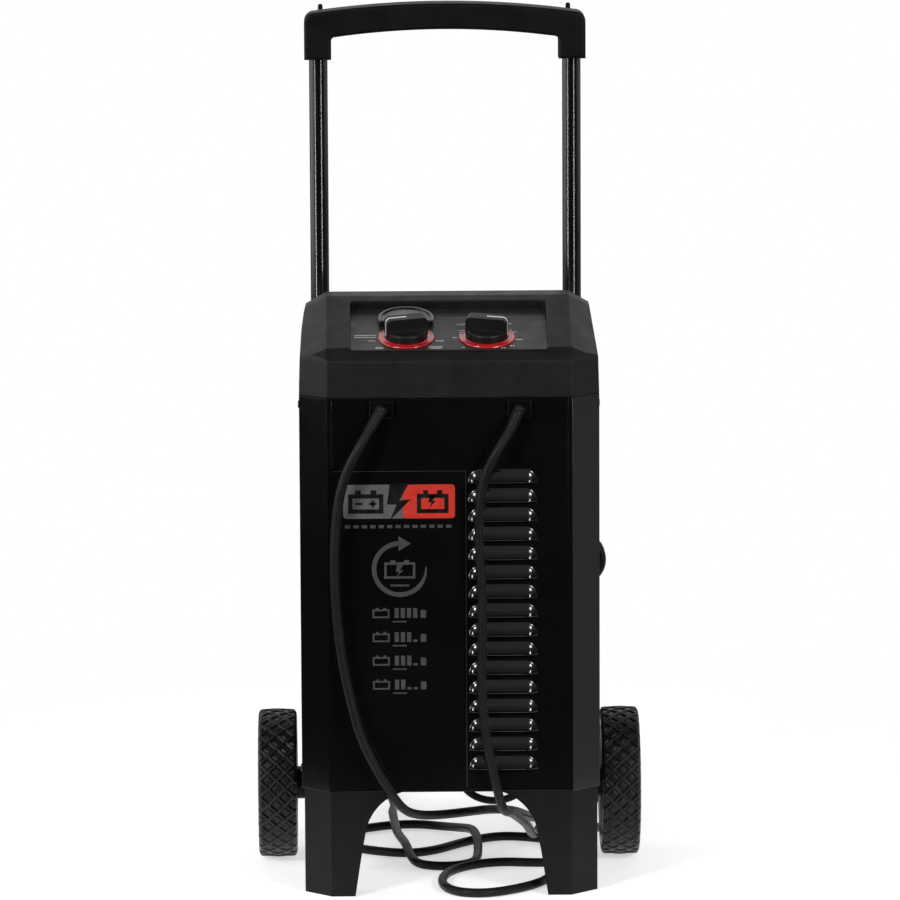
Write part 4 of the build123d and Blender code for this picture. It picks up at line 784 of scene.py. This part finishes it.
# the put-away coil of the right lead: where each turn lies, as outer or inner and its layer
COIL_X, COIL_DEPTH, COIL_MIDDLE = 81.35, 566.0, 51.0
COIL_LANES = [(1, 0), (-1, 0), (-1, 1), (-1, 2), (1, 2), (1, 1), (1, 1)]
COIL_STEPS = 16
COIL_LAST = 6 * COIL_STEPS + 4
coil_points = []
for step in range(COIL_LAST + 1):
    turns = step / COIL_STEPS
    lane, share = int(turns), turns % 1
    here, there = COIL_LANES[lane], COIL_LANES[min(lane + 1, 6)]
    change = smooth_step(share, 0.72, 1.0)
    radius = COIL_MIDDLE + CABLE_RADIUS * (here[0] + (there[0] - here[0]) * change)
    level = CABLE_RADIUS * (1 + 2 * (here[1] + (there[1] - here[1]) * change))
    angle = 2 * pi * turns
    coil_points.append(at(COIL_X + radius * cos(angle), COIL_DEPTH + radius * sin(angle), level))
COIL_EXIT = COIL_DEPTH + COIL_MIDDLE + CABLE_RADIUS
TAIL_ROUTE = [
    (COIL_X - 31, COIL_EXIT + 0.8, 14.3), (COIL_X - 63, COIL_EXIT + 4.0, 15.0),
    (COIL_X - 95, COIL_EXIT + 9.0, CLAMP_MIDDLE),
]

# the mains cord's turns on the rear hooks: round one hook, over to the other, round it and back
HANK_Z, HANK_LEFT, HANK_RIGHT = 299.0, -113.0, 138.0
HANK_RADIUS, HANK_FRONT, MAINS_PITCH = 24.0, 250.0, 8.05
HANK_MIDDLE = (HANK_LEFT + HANK_RIGHT) / 2
HANK_SAG = 1.2
LAP = [(HANK_RIGHT, angle) for angle in (270, 300, 330, 360, 390, 420, 450)]
LAP += [(x, 90) for x in (HANK_RIGHT - 64, HANK_MIDDLE, HANK_LEFT + 62)]
LAP += [(HANK_LEFT, angle) for angle in (90, 120, 150, 180, 210, 240, 270)]
LAP += [(x, 270) for x in (HANK_LEFT + 62, HANK_MIDDLE, HANK_RIGHT - 64)]
LAST_TURN = 14  # points of the third lap, which ends at the left hook
hank_points = []
for index in range(2 * len(LAP) + LAST_TURN):
    turn, place = divmod(index, len(LAP))
    x, angle = LAP[place]
    strand = 2.5 - turn - smooth_step(place, 15, 20)
    at_end = x in (HANK_LEFT, HANK_RIGHT)
    sag = 0.0 if at_end else HANK_SAG * sin(turn * 2.1 + place)
    round_x = HANK_RADIUS * cos(radians(angle)) if at_end else 0.0
    z = HANK_Z + HANK_RADIUS * sin(radians(angle)) + sag
    hank_points.append(at(x + round_x, HANK_FRONT + strand * MAINS_PITCH, z))
hank_points.append(at(HANK_LEFT - HANK_RADIUS, HANK_FRONT + 0.5 * MAINS_PITCH + 0.6, HANK_Z - 7.0))

left_points = [relief_tip["left"]] + placed(LEFT_ROUTE)
right_points = [relief_tip["right"]] + placed(RIGHT_ROUTE) + coil_points + placed(TAIL_ROUTE)
lead_left = spline("lead_left", left_points, CABLE_RADIUS * MM, CABLE)
lead_right = spline("lead_right", right_points, CABLE_RADIUS * MM, CABLE)
mains_lead = spline("mains_lead", placed(MAINS_ROUTE) + hank_points, MAINS_RADIUS * MM, CABLE)
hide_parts("dc_cable_left")
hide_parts("dc_cable_right", "dc_coil_right", "dc_tail_right")
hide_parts("mains_cord", "mains_hank")


# ------------------------------------------------------------------ strain reliefs
def lathe(bm, origin, way, profile, steps=40):
    """A turned shape: profile is distance along the axis and radius, in millimetres."""
    across = way.orthogonal().normalized()
    other = way.cross(across)
    rows = []
    for along, radius in profile:
        middle = origin + way * along * MM
        row = []
        for step in range(steps):
            angle = 2 * pi * step / steps
            row.append(middle + (across * cos(angle) + other * sin(angle)) * radius * MM)
        rows.append(row)
    made = grid(bm, rows, close_columns=True)
    bm.faces.new(made[0])
    bm.faces.new(made[-1])


# a collar against the grommet, a groove, a tapering sleeve and its rounded tip
RELIEF_COLLAR = [(-3.0, 4.6), (-2.4, 5.6), (-1.2, 6.2), (0.5, 6.3), (1.6, 6.1), (2.0, 5.7), (2.6, 5.7)]
RELIEF_SLEEVE = [(3.2 + step * 2.6, 6.0 - step * 0.13) for step in range(9)]
RELIEF_TIP = [(25.2, 4.9), (25.9, 4.7), (26.2, 4.2)]
for side, start in RELIEF_START.items():
    bm = bmesh.new()
    lathe(bm, at(*start), RELIEF_WAY[side].normalized(), RELIEF_COLLAR + RELIEF_SLEEVE + RELIEF_TIP)
    sleeve = piece("relief_sleeve_" + side, bm, SLEEVE, "body")
    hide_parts("strain_relief_" + side)

# ------------------------------------------------------------------ camera
FOCAL = 256.66  # millimetres, on a sensor of this width
SENSOR = 36
CAMERA_PLACE = at(-86.8, -6310.9, 1423.3)
YAW, PITCH, ROLL = radians(0.79), radians(8.731), radians(0.285)
ahead = Vector((sin(YAW) * cos(PITCH), cos(YAW) * cos(PITCH), -sin(PITCH)))
level_right = Vector((cos(YAW), -sin(YAW), 0))
level_up = level_right.cross(ahead)
right = level_right * cos(ROLL) - level_up * sin(ROLL)
up = level_right * sin(ROLL) + level_up * cos(ROLL)
camera = bpy.data.objects.new("camera", bpy.data.cameras.new("camera"))
bpy.context.scene.collection.objects.link(camera)
camera.data.lens = FOCAL
camera.data.sensor_width = SENSOR
camera.data.clip_start, camera.data.clip_end = 0.1, 100
camera.matrix_world = Matrix.Translation(CAMERA_PLACE) @ Matrix((right, up, -ahead)).transposed().to_4x4()
bpy.context.scene.camera = camera

# ------------------------------------------------------------------ a pale floor that fades out at its rim
FLOOR_RADIUS = 0.85
FADE_START, FADE_END = 0.50, 0.80
FLOOR_GLOW = 0.55
FLOOR_PLACE = (0, 0.25, -0.0003)
bpy.ops.mesh.primitive_circle_add(vertices=96, radius=FLOOR_RADIUS, fill_type="TRIFAN", location=FLOOR_PLACE)
floor = bpy.context.active_object
floor.name = "floor"
ground = Look("pale_floor")
distance = ground.node("ShaderNodeVectorMath", operation="LENGTH")
ground.link(ground.coords, distance.inputs[0])
fade = ground.node("ShaderNodeMapRange")
for key, value in (("From Min", FADE_START), ("From Max", FADE_END), ("To Min", 1.0), ("To Max", 0.0)):
    fade.inputs[key].default_value = value
ground.link(distance.outputs["Value"], fade.inputs["Value"])
ground.link(fade.outputs["Result"], ground.shader.inputs["Alpha"])
ground_colour = ground.ramp(ground.noise(3, 3), grey(0.86), grey(0.88))
ground.finish(ground_colour, ground.spread(ground.noise(5, 3), 0.75, 0.85), specular=0.1)
ground.shader.inputs["Emission Color"].default_value = (1, 1, 1, 1)
ground.shader.inputs["Emission Strength"].default_value = FLOOR_GLOW
floor.data.materials.append(ground.material)

# ------------------------------------------------------------------ a studio, white behind and dark in front
world = bpy.data.worlds.new("studio")
bpy.context.scene.world = world
world.use_nodes = True
tree = world.node_tree


def world_node(kind, **settings):
    made = tree.nodes.new(kind)
    for key, value in settings.items():
        setattr(made, key, value)
    return made


def rise(source, start, end, low, high):
    """A smooth step from low to high as the source goes from start to end."""
    made = world_node("ShaderNodeMapRange", interpolation_type="SMOOTHSTEP")
    for key, value in (("From Min", start), ("From Max", end), ("To Min", low), ("To Max", high)):
        made.inputs[key].default_value = value
    tree.links.new(source, made.inputs["Value"])
    return made.outputs["Result"]


def combine(operation, one, two):
    made = world_node("ShaderNodeMath", operation=operation)
    tree.links.new(one, made.inputs[0])
    tree.links.new(two, made.inputs[1])
    return made.outputs["Value"]


sky = world_node("ShaderNodeTexCoord")
ways = world_node("ShaderNodeSeparateXYZ")
tree.links.new(sky.outputs["Generated"], ways.inputs["Vector"])
way_back, way_up = ways.outputs["Y"], ways.outputs["Z"]
# bright behind, less so near the horizon
behind = combine("MULTIPLY", rise(way_back, 0.15, 0.60, 0.02, 0.80), rise(way_up, 0.08, 0.32, 0.30, 1.0))
# a dim ceiling in front, in two steps
height = combine("ADD", rise(way_up, 0.03, 0.16, 0.0, 0.17), rise(way_up, 0.30, 0.45, 0.0, 0.14))
ceiling = combine("MULTIPLY", rise(way_back, -0.2, -0.5, 0.0, 1.0), height)
# the camera itself sees plain white
seen = world_node("ShaderNodeLightPath")
mix = world_node("ShaderNodeMix", data_type="FLOAT")
mix.inputs["B"].default_value = 1.0
tree.links.new(seen.outputs["Is Camera Ray"], mix.inputs["Factor"])
tree.links.new(combine("ADD", behind, ceiling), mix.inputs["A"])
tree.links.new(mix.outputs["Result"], tree.nodes["Background"].inputs["Color"])


def softbox(name, place, target, width, height, radiance):
    """A rectangular light, its brightness given as radiance against a white of 1."""
    light = bpy.data.lights.new(name, "AREA")
    light.shape = "RECTANGLE"
    light.size, light.size_y, light.energy = width, height, radiance * pi * width * height
    made = bpy.data.objects.new(name, light)
    bpy.context.scene.collection.objects.link(made)
    made.location = place
    made.rotation_euler = (Vector(target) - Vector(place)).to_track_quat("-Z", "Y").to_euler()


# two lamps from the front, and two low strips that draw bright lines down the tubes
softbox("left_front", (-1.9, -2.6, 2.0), (0, 0, 0.4), 0.6, 0.6, radiance=40)
softbox("right_front", (1.9, -2.6, 2.0), (0, 0, 0.4), 0.6, 0.6, radiance=38)
softbox("left_strip", (-2.0, -1.8, 0.36), (0, 0.1, 0.36), 0.18, 0.5, radiance=34)
softbox("right_strip", (1.5, -2.4, 0.36), (0, 0.1, 0.36), 0.14, 0.5, radiance=42)
# wide dim walls for the sides and the chamfers
softbox("left_side", (-2.2, 0.2, 0.98), (0, 0.2, 0.98), 2.4, 1.3, radiance=2.0)
softbox("right_side", (2.2, 0.2, -0.12), (0, 0.2, -0.12), 2.4, 0.84, radiance=0.32)
softbox("right_upper", (2.4, 0.4, 0.95), (0, 0.2, 0.95), 2.4, 1.1, radiance=0.7)
bpy.context.scene.view_settings.view_transform = "Standard"
